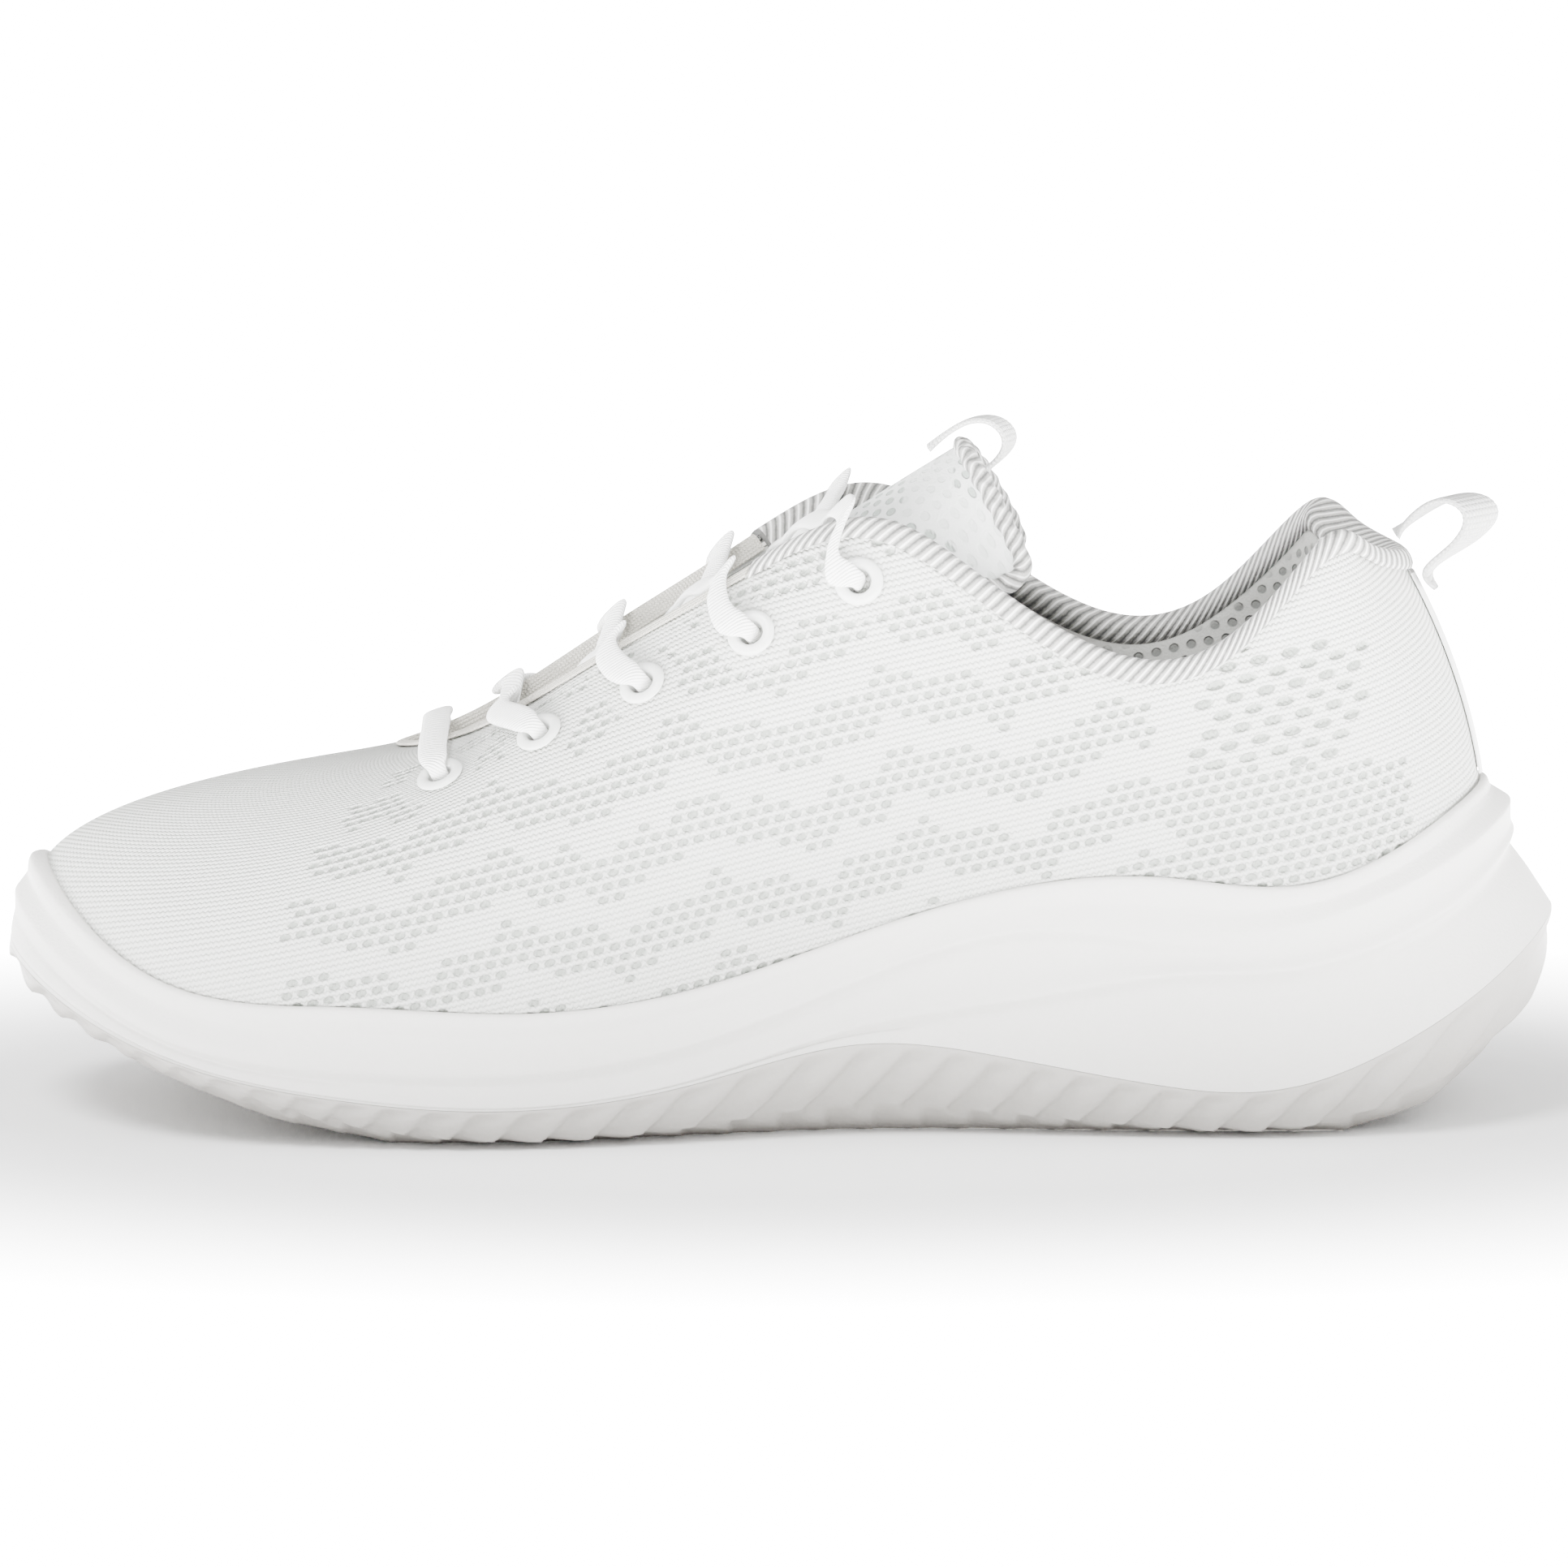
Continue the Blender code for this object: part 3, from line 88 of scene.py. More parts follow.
# The sole at the same stations: heights of the rim, first crease, second crease, outsole top and lower
# edge; how far the first crease, second crease, outsole top and lower edge stand out from the rim; and
# how deep each crease is stepped in.
SOLE = [
    (63, 58, 53, 38.5, 23, 6.2, 7.0, 14.3, 11.5, 0.0, 1.5),
    (58, 51, 44, 27, 13, 5.6, 7.0, 11.4, 8.6, 0.1, 1.8),
    (47.8, 40, 33.0, 11.5, 2.5, 3.8, 5.0, 6.5, 3.5, 0.2, 1.9),
    (49, 37.3, 31.2, 10.5, 2, 3.4, 4.4, 5.5, 2.5, 0.9, 1.7),
    (47.3, 39.3, 26.8, 15.5, 4.2, 3.0, 3.8, 4.5, 0.5, 1.6, 1.7),
    (38.5, 30.3, 21.6, 18.5, 6, 3.0, 3.6, 4.4, 0, 1.7, 1.2),
    (28.8, 19.2, 12.9, 12, 3, 3.0, 3.9, 4.5, 1, 1.4, 0.5),
    (25.3, 14.5, 8.6, 8, 1.5, 3.2, 3.8, 4.2, 1.5, 1.2, 0.3),
    (26.5, 15.0, 10.6, 10, 5, 3.4, 4.2, 4.6, 2, 1.0, 0.3),
    (31, 22.5, 19.7, 19, 15, 5.2, 6.3, 6.8, 3.6, 0.8, 0.3),
    (48.5, 40, 34, 32, 25.5, 6.6, 7.4, 7.6, 5.6, 0.0, 0.0),
    (32, 23.5, 20.2, 19.5, 15.5, 5.2, 6.3, 6.8, 3.6, 0.8, 0.3),
    (27, 16, 11.3, 10.5, 5.5, 3.6, 4.5, 5.0, 2, 1.0, 0.3),
    (25.8, 15.5, 8.8, 8, 1.5, 3.8, 4.7, 5.2, 2, 1.2, 0.3),
    (28.5, 18.5, 11.5, 9.5, 1.5, 4.0, 5.0, 5.5, 2.5, 1.4, 0.8),
    (36, 26.5, 17.5, 12.5, 2.5, 4.0, 5.0, 5.8, 2.5, 1.5, 1.3),
    (44, 34.5, 24.5, 12.5, 2.5, 4.0, 5.0, 6.0, 2.5, 1.3, 1.6),
    (47.5, 37.5, 29.5, 10.5, 2, 4.0, 5.0, 6.0, 3, 0.8, 1.7),
    (48, 40, 33, 11.5, 2.5, 4.2, 5.4, 6.8, 3.5, 0.3, 1.9),
    (58, 51, 44, 27, 13, 5.6, 7.0, 11.4, 8.6, 0.1, 1.8),
]
# Height of the tread's middle above the ground along the shoe: toe spring, flat, heel bevel.
TREAD_X = (-142, -120, -95, -72, 106, 122, 142)
TREAD_Z = (23, 12.5, 4.2, 0, 0, 4.5, 18)

KNIT_THICK = 0.0012
STACK = 0.0036                # knit, reinforcement and lining together at the throat
LINING_THICK = 0.0010
COLLAR_PADDING = 0.0045
COLLAR_END = 6.85             # station where the collar binding gives way to the throat tape
LACE_WIDTH = 0.0058
LACE_THICK = 0.0017
EYELET_BORE = 0.0046
EYELETS = [(8.70, 0.80), (8.02, 0.81), (7.32, 0.81), (6.54, 0.79), (5.86, 0.85)]
INNER, OUTER = -1, 1


# ---- curves and surfaces of the last ----
def cubic(f, start, end, leave, arrive):
    """Cubic pieces from start to end at the shares f, with the slopes leave and arrive."""
    value = (2 * f**3 - 3 * f**2 + 1) * start + (3 * f**2 - 2 * f**3) * end
    return value + (f**3 - 2 * f**2 + f) * leave + (f**3 - f**2) * arrive


def free_slopes(rows):
    """Slopes of the smoothest curve through the rows, straight at both ends."""
    n = len(rows)
    matrix = 4 * np.eye(n) + np.eye(n, k=1) + np.eye(n, k=-1)
    matrix[0, 0] = matrix[-1, -1] = 2
    right = 3 * np.concatenate([rows[1:2] - rows[:1], rows[2:] - rows[:-2], rows[-1:] - rows[-2:-1]])
    return np.linalg.solve(matrix, right)


def full_turn(sides):
    """Angles of the corners of a ring."""
    return np.linspace(0, 2 * math.pi, sides, endpoint=False)


def run_length(points):
    """Length along a line of points up to each of them."""
    return np.concatenate([[0], np.cumsum(np.linalg.norm(np.diff(points, axis=0), axis=1))])


def closed_spline(table, u):
    """Smooth closed curve through equally spaced rows, by cubic pieces with matching curvature."""
    points = np.asarray(table, float)
    n = len(points)
    matrix = 4 * np.eye(n) + np.roll(np.eye(n), 1, 0) + np.roll(np.eye(n), -1, 0)
    slope = np.linalg.solve(matrix, 3 * (np.roll(points, -1, 0) - np.roll(points, 1, 0)))
    u = np.asarray(u, float).ravel()
    base = np.floor(u)
    t = (u - base)[:, None]
    a = base.astype(int) % n
    b = (a + 1) % n
    return cubic(t, points[a], points[b], slope[a], slope[b])


def open_spline(points, t):
    """Smooth curve through the rows of points, t = 0 at the first and 1 at the last."""
    p = np.asarray(points, float)
    n = len(p)
    flat = p.reshape(n, -1)
    slope = free_slopes(flat)
    x = np.clip(np.asarray(t, float).ravel(), 0, 1) * (n - 1)
    a = np.minimum(x.astype(int), n - 2)
    f = (x - a)[:, None]
    return cubic(f, flat[a], flat[a + 1], slope[a], slope[a + 1]).reshape(len(x), *p.shape[1:])


def unit(v):
    """Vectors of length one along the last axis."""
    v = np.asarray(v, float)
    return v / np.linalg.norm(v, axis=-1, keepdims=True)


def smooth_step(low, high, x):
    """0 before low and 1 after high, with level ends; low may be the larger one."""
    t = np.clip((np.asarray(x, float) - low) / (high - low), 0, 1)
    return t * t * (3 - 2 * t)


def upper_at(u, s):
    """Outer face of the upper: a cubic arc at station u, s = 0 at the sole and 1 at the edge."""
    u, s = np.broadcast_arrays(np.asarray(u, float), np.asarray(s, float))
    controls = closed_spline(UPPER, u).reshape(-1, 4, 3)
    t = s.ravel()[:, None]
    weights = ((1 - t)**3, 3 * t * (1 - t)**2, 3 * t**2 * (1 - t), t**3)
    points = sum(w * controls[:, i] for i, w in enumerate(weights))
    return (points * MM + CENTRE).reshape(*u.shape, 3)


def upper_out(u, s):
    """Outward normal of the upper, from small steps along both directions."""
    step = 1e-3
    s = np.clip(np.asarray(s, float), 0.002, 0.998)
    along = upper_at(u + step, s) - upper_at(u - step, s)
    up = upper_at(u, s + step) - upper_at(u, s - step)
    return unit(np.cross(up, along))


def sole_lines(u):
    """The sole's heights, flares and creases at the stations u."""
    return closed_spline(SOLE, u)


def rim_share(u):
    """Height share at which the upper meets the midsole's rim, by halving the interval 24 times."""
    target = sole_lines(u)[:, 0] * MM
    low = np.zeros(len(target))
    high = np.full(len(target), 0.7)
    for _ in range(24):
        middle = (low + high) / 2
        below = upper_at(u, middle)[:, 2] < target
        low = np.where(below, middle, low)
        high = np.where(below, high, middle)
    return (low + high) / 2


def heel_distance(u):
    """How many stations a place is from the back centre, by the nearer way."""
    u = np.asarray(u, float) % STATIONS
    return np.minimum(u, STATIONS - u)


# ---- meshes ----
def grid_quads(rows, cols, close_rows=False, close_cols=False):
    """Corner indices of a grid's cells, and of the same cells on the unrolled grid for UVs."""
    i = np.arange(rows if close_rows else rows - 1)[:, None]
    j = np.arange(cols if close_cols else cols - 1)[None, :]
    corners = [(i, j), (i + 1, j), (i + 1, j + 1), (i, j + 1)]
    wide = cols + int(close_cols)
    quads = np.stack([(a % rows) * cols + b % cols for a, b in corners], -1).reshape(-1, 4)
    unrolled = np.stack([a * wide + b for a, b in corners], -1).reshape(-1, 4)
    return quads, unrolled


def facing_out(points, groups):
    """True when the faces of a closed mesh point outwards: its signed volume is positive."""
    total = 0.0
    for faces in groups:
        for k in range(1, faces.shape[1] - 1):
            a, b, c = points[faces[:, 0]], points[faces[:, k]], points[faces[:, k + 1]]
            total += np.einsum("ij,ij->i", a, np.cross(b, c)).sum()
    return total > 0


def make_piece(name, points, groups, look, uv, body="shoe", masks=None, sharp=60, normals=None):
    """Mesh object from points (n, 3) and groups of faces (m, k); uv has a pair for every face corner.
    Edges bent by more than sharp degrees stay crisp, unless normals are given for the points."""
    points = np.asarray(points, float).reshape(-1, 3)
    groups = [np.asarray(g, int) for g in groups if len(g)]
    uv = [np.asarray(g, float).reshape(-1, f.shape[1], 2) for g, f in zip(uv, groups)]
    if not facing_out(points - points.mean(0), groups):
        groups = [g[:, ::-1] for g in groups]
        uv = [g[:, ::-1] for g in uv]
    corners = np.concatenate([g.ravel() for g in groups])
    sizes = np.concatenate([np.full(len(g), g.shape[1]) for g in groups])
    starts = np.concatenate([[0], np.cumsum(sizes)[:-1]])
    mesh = bpy.data.meshes.new(name)
    mesh.vertices.add(len(points))
    mesh.vertices.foreach_set("co", points.astype(np.float32).ravel())
    mesh.loops.add(len(corners))
    mesh.loops.foreach_set("vertex_index", corners.astype(np.int32))
    mesh.polygons.add(len(starts))
    mesh.polygons.foreach_set("loop_start", starts.astype(np.int32))
    mesh.update(calc_edges=True)
    layer = mesh.uv_layers.new(name="UVMap")
    flat = np.concatenate([g.reshape(-1, 2) for g in uv])
    layer.data.foreach_set("uv", flat.astype(np.float32).ravel())
    for key, values in (masks or {}).items():
        attribute = mesh.attributes.new(key, "FLOAT", "POINT")
        attribute.data.foreach_set("value", np.asarray(values, np.float32).ravel())
    mesh.shade_smooth()
    if normals is not None:
        mesh.normals_split_custom_set_from_vertices(np.asarray(normals, float).reshape(-1, 3))
    else:
        mesh.set_sharp_from_angle(angle=math.radians(sharp))
    mesh.materials.append(look)
    piece = bpy.data.objects.new(name, mesh)
    bpy.context.scene.collection.objects.link(piece)
    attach(piece, body)
    return piece


def sheet_solid(name, outer, inner, uv, look, masks=None, close=False, **extra):
    """Closed body between two grids of points (columns, rows, 3) that share one UV grid."""
    columns, rows = outer.shape[:2]
    quads, unrolled = grid_quads(columns, rows, close_rows=close)
    side = columns * rows
    wide_uv = uv.reshape(-1, 2)
    groups = [quads, quads[:, ::-1] + side]
    uvs = [wide_uv[unrolled], wide_uv[unrolled][:, ::-1]]
    run = np.arange(columns if close else columns - 1)
    for row, turn in ((0, -1), (rows - 1, 1)):
        a = run * rows + row
        b = (run + 1) % columns * rows + row
        ahead = (run + 1) * rows + row
        groups.append(np.stack([a, b, b + side, a + side], 1)[:, ::turn])
        uvs.append(wide_uv[np.stack([a, ahead, ahead, a], 1)][:, ::turn])
    if not close:
        for column, turn in ((0, 1), (columns - 1, -1)):
            a = column * rows + np.arange(rows - 1)
            groups.append(np.stack([a, a + 1, a + 1 + side, a + side], 1)[:, ::turn])
            uvs.append(wide_uv[groups[-1] % side])
    points = np.concatenate([outer.reshape(-1, 3), inner.reshape(-1, 3)])
    both = {key: np.concatenate([v.ravel(), v.ravel()]) for key, v in (masks or {}).items()}
    return make_piece(name, points, groups, look, uvs, masks=both, **extra)


def sweep(name, rings, look, along=None, closed=False, **extra):
    """Tube through rings of points (rings, sides, 3), with its ends capped unless it is closed."""
    count, sides = rings.shape[:2]
    quads, unrolled = grid_quads(count, sides, close_rows=closed, close_cols=True)
    along = run_length(rings.mean(1)) if along is None else along
    if closed:
        along = np.append(along, along[-1] + along[-1] / (count - 1))
    girth = np.linalg.norm(np.diff(rings[:, list(range(sides)) + [0]], axis=1), axis=2).mean(0)
    around = np.concatenate([[0], np.cumsum(girth)])
    uv = np.stack(np.meshgrid(along, around, indexing="ij"), -1).reshape(-1, 2)
    groups = [quads]
    uvs = [uv[unrolled]]
    if not closed:
        for first, order in ((0, 1), ((count - 1) * sides, -1)):
            groups.append(first + np.arange(sides)[None, ::order])
            uvs.append(np.zeros((1, sides, 2)))
    return make_piece(name, rings.reshape(-1, 3), groups, look, uvs, **extra)


def shell(name, loops, look, **extra):
    """Closed body through loops of points round the foot (loops, columns, 3); its first and last loops
    are filled across with strips that join each point to the one opposite."""
    count, columns = loops.shape[:2]
    quads, unrolled = grid_quads(count, columns, close_cols=True)
    half = columns // 2
    k = np.arange(1, half - 1)
    groups = [quads]
    flat = loops.reshape(-1, 3)
    for first, turn in ((0, 1), ((count - 1) * columns, -1)):
        strip = np.stack([k, k + 1, columns - k - 1, columns - k], 1) + first
        ends = np.array([[0, 1, columns - 1], [half - 1, half, half + 1]]) + first
        groups += [strip[:, ::turn], ends[:, ::turn]]
    uvs = [flat[g][:, :, :2] for g in groups]
    return make_piece(name, flat, groups, look, uvs, **extra)


# ---- materials ----
def math_node(tree, operation, *inputs):
    """Output of a math node with the given inputs, which are numbers or sockets."""
    node = tree.nodes.new("ShaderNodeMath")
    node.operation = operation
    for socket, value in zip(node.inputs, inputs):
        if isinstance(value, (int, float)):
            socket.default_value = value
        else:
            tree.links.new(value, socket)
    return node.outputs[0]


def plus(tree, first, second):
    """Sum of two numbers or sockets."""
    return math_node(tree, "ADD", first, second)


def times(tree, first, second):
    """Product of two numbers or sockets."""
    return math_node(tree, "MULTIPLY", first, second)


def ramp(tree, value, low, high, start=0.0, end=1.0):
    """Clamped linear map of a value from low..high to start..end."""
    node = tree.nodes.new("ShaderNodeMapRange")
    tree.links.new(value, node.inputs["Value"])
    for key, number in (("From Min", low), ("From Max", high), ("To Min", start), ("To Max", end)):
        node.inputs[key].default_value = number
    return node.outputs["Result"]


def new_group(name, inputs, outputs):
    """Empty shader group with named sockets; inputs are (name, socket type, default)."""
    tree = bpy.data.node_groups.new(name, "ShaderNodeTree")
    for label, kind, default in inputs:
        socket = tree.interface.new_socket(label, in_out="INPUT", socket_type=kind)
        if default is not None:
            socket.default_value = default
    for label, kind in outputs:
        tree.interface.new_socket(label, in_out="OUTPUT", socket_type=kind)
    return tree, tree.nodes.new("NodeGroupInput").outputs, tree.nodes.new("NodeGroupOutput").inputs


FLOAT = "NodeSocketFloat"
VECTOR = "NodeSocketVector"


def split_xy(tree, vector):
    """The first two coordinates of a vector socket."""
    node = tree.nodes.new("ShaderNodeSeparateXYZ")
    tree.links.new(vector, node.inputs[0])
    return node.outputs[0], node.outputs[1]


def turned(tree, vector):
    """The two coordinates of a vector measured along the knit's courses and across them."""
    x, y = split_xy(tree, vector)
    parts = [times(tree, axis, factor)
             for axis, factor in ((x, COURSE_COS), (y, COURSE_SIN), (y, COURSE_COS), (x, COURSE_SIN))]
    return plus(tree, *parts[:2]), math_node(tree, "SUBTRACT", *parts[2:])


COURSE_ANGLE = 13             # degrees that the knit's courses rise towards the heel
COURSE = 0.00113              # pitch of the knit's courses
WALE = 0.00105                # width of one loop in a course
COURSE_COS = math.cos(math.radians(COURSE_ANGLE))
COURSE_SIN = math.sin(math.radians(COURSE_ANGLE))
SIDE_HOLES = {"pitch_along": 0.0031, "pitch_across": 0.00226, "half_length": 0.00105, "half_width": 0.00062}
HEEL_HOLES = {"pitch_along": 0.0060, "pitch_across": 0.0029, "half_length": 0.0017, "half_width": 0.0008}
GRAIN_RANGE = 0.3             # value that the grain seldom passes


def knit_group():
    """Courses of small loops: ridges along the turned first axis, rippled and parted at each loop."""
    tree, given, result = new_group("knit_courses", [("Place", VECTOR, None)],
                                    [("Height", FLOAT), ("Groove", FLOAT)])
    p, q = turned(tree, given["Place"])
    course = math_node(tree, "DIVIDE", q, COURSE)
    wale = math_node(tree, "DIVIDE", p, WALE)
    wave = math_node(tree, "SINE", times(tree, wale, math.tau))
    level = plus(tree, course, times(tree, wave, 0.13))
    crest = math_node(tree, "COSINE", times(tree, level, math.pi))
    ridge = math_node(tree, "ABSOLUTE", crest)
    row = math_node(tree, "ROUND", level)
    stagger = plus(tree, wale, times(tree, row, 0.5))
    loop = math_node(tree, "COSINE", times(tree, stagger, math.tau))
    body = math_node(tree, "MULTIPLY_ADD", loop, 0.16, 0.84)
    height = times(tree, math_node(tree, "POWER", ridge, 0.7), body)
    tree.links.new(height, result["Height"])
    tree.links.new(math_node(tree, "SUBTRACT", 1.0, height), result["Groove"])
    return tree


def lattice_group():
    """Staggered oval holes: 1 inside an oval about each point of a lattice, 0 outside it."""
    tree, given, result = new_group(
        "hole_lattice",
        [("Place", VECTOR, None), ("Pitch Along", FLOAT, 0.0031), ("Pitch Across", FLOAT, 0.00226),
         ("Half Length", FLOAT, 0.001), ("Half Width", FLOAT, 0.0006)],
        [("Hole", FLOAT)])
    p, q = turned(tree, given["Place"])
    row = math_node(tree, "DIVIDE", q, given["Pitch Across"])
    line = math_node(tree, "FLOOR", row)
    odd = times(tree, math_node(tree, "FLOORED_MODULO", line, 2.0), 0.5)
    column = plus(tree, math_node(tree, "DIVIDE", p, given["Pitch Along"]), odd)
    distance = []
    for place, pitch, half in ((column, "Pitch Along", "Half Length"), (row, "Pitch Across", "Half Width")):
        offset = math_node(tree, "SUBTRACT", math_node(tree, "FRACT", place), 0.5)
        length = math_node(tree, "DIVIDE", times(tree, offset, given[pitch]), given[half])
        distance.append(times(tree, length, length))
    hole = ramp(tree, plus(tree, *distance), 1.25, 0.65)
    tree.links.new(hole, result["Hole"])
    return tree


def grain_group():
    """Fine moulded or fibrous grain: two sizes of noise, centred on zero."""
    tree, given, result = new_group("fine_grain", [("Place", VECTOR, None), ("Scale", FLOAT, 900.0)],
                                    [("Grain", FLOAT)])
    parts = []
    for share, strength in ((1.0, 0.6), (0.31, 0.4)):
        noise = tree.nodes.new("ShaderNodeTexNoise")
        noise.inputs["Detail"].default_value = 2.0
        tree.links.new(given["Place"], noise.inputs["Vector"])
        tree.links.new(times(tree, given["Scale"], share), noise.inputs["Scale"])
        centred = math_node(tree, "SUBTRACT", noise.outputs[0], 0.5)
        parts.append(times(tree, centred, strength))
    tree.links.new(plus(tree, *parts), result["Grain"])
    return tree


def weave_group():
    """Plain weave: two sets of ridges that take turns on top, from the product of two waves."""
    tree, given, result = new_group("plain_weave", [("Place", VECTOR, None), ("Pitch", FLOAT, 0.0006)],
                                    [("Height", FLOAT)])
    x, y = split_xy(tree, given["Place"])
    waves = []
    for axis in (x, y):
        turns = math_node(tree, "DIVIDE", axis, given["Pitch"])
        waves.append(math_node(tree, "SINE", times(tree, turns, math.pi)))
    height = math_node(tree, "ABSOLUTE", times(tree, *waves))
    tree.links.new(height, result["Height"])
    return tree


def rib_group():
    """Slanted ribs along a strip: a rounded wave of a slanted coordinate, with a thinner thread in it."""
    tree, given, result = new_group(
        "slanted_ribs",
        [("Place", VECTOR, None), ("Pitch", FLOAT, 0.0016), ("Slant", FLOAT, 0.8)],
        [("Height", FLOAT), ("Thread", FLOAT)])
    x, y = split_xy(tree, given["Place"])
    slid = plus(tree, x, times(tree, y, given["Slant"]))
    turns = math_node(tree, "DIVIDE", slid, given["Pitch"])
    wave = math_node(tree, "SINE", times(tree, turns, math.pi))
    height = math_node(tree, "ABSOLUTE", wave)
    part = math_node(tree, "FRACT", turns)
    away = math_node(tree, "ABSOLUTE", math_node(tree, "SUBTRACT", part, 0.45))
    thread = ramp(tree, away, 0.13, 0.07)
    tree.links.new(height, result["Height"])
    tree.links.new(thread, result["Thread"])
    return tree


KNIT = knit_group()
LATTICE = lattice_group()
GRAIN = grain_group()
WEAVE = weave_group()
RIBS = rib_group()


class Finish:
    """A Principled material under construction, with short ways to add what most finishes need."""

    def __init__(self, name, colour, roughness, **constants):
        self.material = bpy.data.materials.new(name)
        self.material.use_nodes = True
        self.tree = self.material.node_tree
        self.shader = self.tree.nodes["Principled BSDF"]
        self.shader.inputs["Base Color"].default_value = (*colour, 1)
        self.shader.inputs["Roughness"].default_value = roughness
        for key, value in constants.items():
            self.shader.inputs[key.replace("_", " ").title()].default_value = value
        self.colour = colour
        self.coordinates = self.tree.nodes.new("ShaderNodeTexCoord")

    def place(self, kind="Object"):
        """Coordinates socket of the given kind."""
        return self.coordinates.outputs[kind]

    def group(self, tree, kind="Object", **inputs):
        """Outputs of a shared group fed with this finish's coordinates and the given numbers."""
        node = self.tree.nodes.new("ShaderNodeGroup")
        node.node_tree = tree
        self.tree.links.new(self.place(kind), node.inputs["Place"])
        for key, value in inputs.items():
            node.inputs[key.replace("_", " ").title()].default_value = value
        return node.outputs

    def mask(self, name):
        """Socket with the values of a named mask on the mesh."""
        node = self.tree.nodes.new("ShaderNodeAttribute")
        node.attribute_name = name
        return node.outputs["Fac"]

    def mix(self, factor, first, second):
        """Colour between first and second by the factor; each is a colour or a socket."""
        node = self.tree.nodes.new("ShaderNodeMix")
        node.data_type = "RGBA"
        self.tree.links.new(factor, node.inputs["Factor"])
        for key, value in (("A", first), ("B", second)):
            socket = [s for s in node.inputs if s.name == key and s.type == "RGBA"][0]
            if isinstance(value, tuple):
                socket.default_value = (*value, 1)
            else:
                self.tree.links.new(value, socket)
        return [s for s in node.outputs if s.type == "RGBA"][0]

    def paint(self, socket):
        """Use a colour socket as the base colour."""
        self.tree.links.new(socket, self.shader.inputs["Base Color"])
        return self

    def relief(self, height, depth):
        """Bump from a height socket whose full range is depth metres."""
        bump = self.tree.nodes.new("ShaderNodeBump")
        bump.inputs["Strength"].default_value = 1.0
        bump.inputs["Distance"].default_value = depth
        self.tree.links.new(height, bump.inputs["Height"])
        self.tree.links.new(bump.outputs[0], self.shader.inputs["Normal"])
        return self

    def grained(self, scale, dark, light, depth):
        """The finished material with one fine grain in both its tone and its relief."""
        grain = self.group(GRAIN, scale=scale)["Grain"]
        self.paint(self.mix(ramp(self.tree, grain, -GRAIN_RANGE, GRAIN_RANGE), dark, light))
        return self.relief(grain, depth).material


def knit_finish():
    """Knit courses with the open knit's holes, small on the sides and larger at the heel; painted shade in
    their hollows.
    """
    finish = Finish("upper_knit_cloth", (0.60, 0.605, 0.58), 0.9)
    tree = finish.tree
    knit = finish.group(KNIT, "UV")
    small = finish.group(LATTICE, "UV", **SIDE_HOLES)["Hole"]
    large = finish.group(LATTICE, "UV", **HEEL_HOLES)["Hole"]
    holes = math_node(tree, "MAXIMUM", times(tree, small, finish.mask("open_knit")),
                      times(tree, large, finish.mask("open_heel")))
    # Painted shade: the yarn is coloured darker in the grooves between courses, and darker still in the
    # holes.
    groove_shade = times(tree, knit["Groove"], 0.55)
    yarn_with_groove_shade = finish.mix(groove_shade, finish.colour, (0.40, 0.41, 0.385))
    finish.paint(finish.mix(holes, yarn_with_groove_shade, (0.34, 0.36, 0.33)))
    fibre = finish.group(GRAIN, "Object", scale=2600.0)["Grain"]
    relief = plus(tree, knit["Height"], times(tree, fibre, 0.35))
    relief = math_node(tree, "SUBTRACT", relief, times(tree, holes, 0.9))
    return finish.relief(relief, 0.00035).material


def foam_finish():
    """Matt skin of the moulded foam, with a leather-like grain."""
    finish = Finish("midsole_foam_skin", (0.62, 0.61, 0.59), 0.62)
    return finish.grained(1500.0, (0.605, 0.595, 0.575), (0.635, 0.625, 0.605), 0.00022)


def rubber_finish():
    """Slightly warmer and smoother rubber."""
    finish = Finish("outsole_rubber_skin", (0.37, 0.355, 0.335), 0.5)
    return finish.grained(1100.0, (0.35, 0.335, 0.315), (0.39, 0.375, 0.355), 0.00010)


def spacer_finish(name, colour, cell_shade_colour, pitch, depth):
    """Spacer mesh: round cells in staggered rows, each with painted shade at its bottom."""
    finish = Finish(name, colour, 0.92, sheen_weight=0.2)
    cells = finish.group(LATTICE, "UV", pitch_along=pitch, pitch_across=pitch * 0.8,
                         half_length=pitch * 0.27, half_width=pitch * 0.25)["Hole"]
    fibre = finish.group(GRAIN, scale=2200.0)["Grain"]
    shown = times(finish.tree, cells, finish.mask("open_mesh"))
    # Painted shade: the cells are coloured darker where the mesh is open.
    finish.paint(finish.mix(shown, colour, cell_shade_colour))
    height = math_node(finish.tree, "SUBTRACT", times(finish.tree, fibre, 0.5), shown)
    return finish.relief(height, depth).material


def binding_finish():
    """Grey knitted tape with slanted ribs, painted shade in the hollows between them and a bright thread
    along each.
    """
    finish = Finish("collar_binding_tape", (0.47, 0.465, 0.445), 0.75, sheen_weight=0.15)
    ribs = finish.group(RIBS, "UV", pitch=0.0021, slant=-0.55)
    fibre = finish.group(GRAIN, scale=2400.0)["Grain"]
    # Painted shade: the tape is coloured almost black in the hollows between the ribs.
    dark = ramp(finish.tree, plus(finish.tree, ribs["Height"], fibre), 0.15, 0.75)
    base = finish.mix(dark, (0.10, 0.10, 0.095), (0.34, 0.335, 0.32))
    finish.paint(finish.mix(ribs["Thread"], base, (0.72, 0.715, 0.70)))
    height = plus(finish.tree, ribs["Height"], times(finish.tree, fibre, 0.8))
    return finish.relief(height, 0.00035).material


def webbing_finish(name, colour, pitch=0.0011):
    """Plain-woven webbing, with painted shade in the hollows of the weave."""
    finish = Finish(name, colour, 0.8, sheen_weight=0.2)
    height = finish.group(WEAVE, "UV", pitch=pitch)["Height"]
    shade = tuple(c * 0.82 for c in colour)
    finish.paint(finish.mix(height, shade, colour))
    return finish.relief(height, 0.0003).material


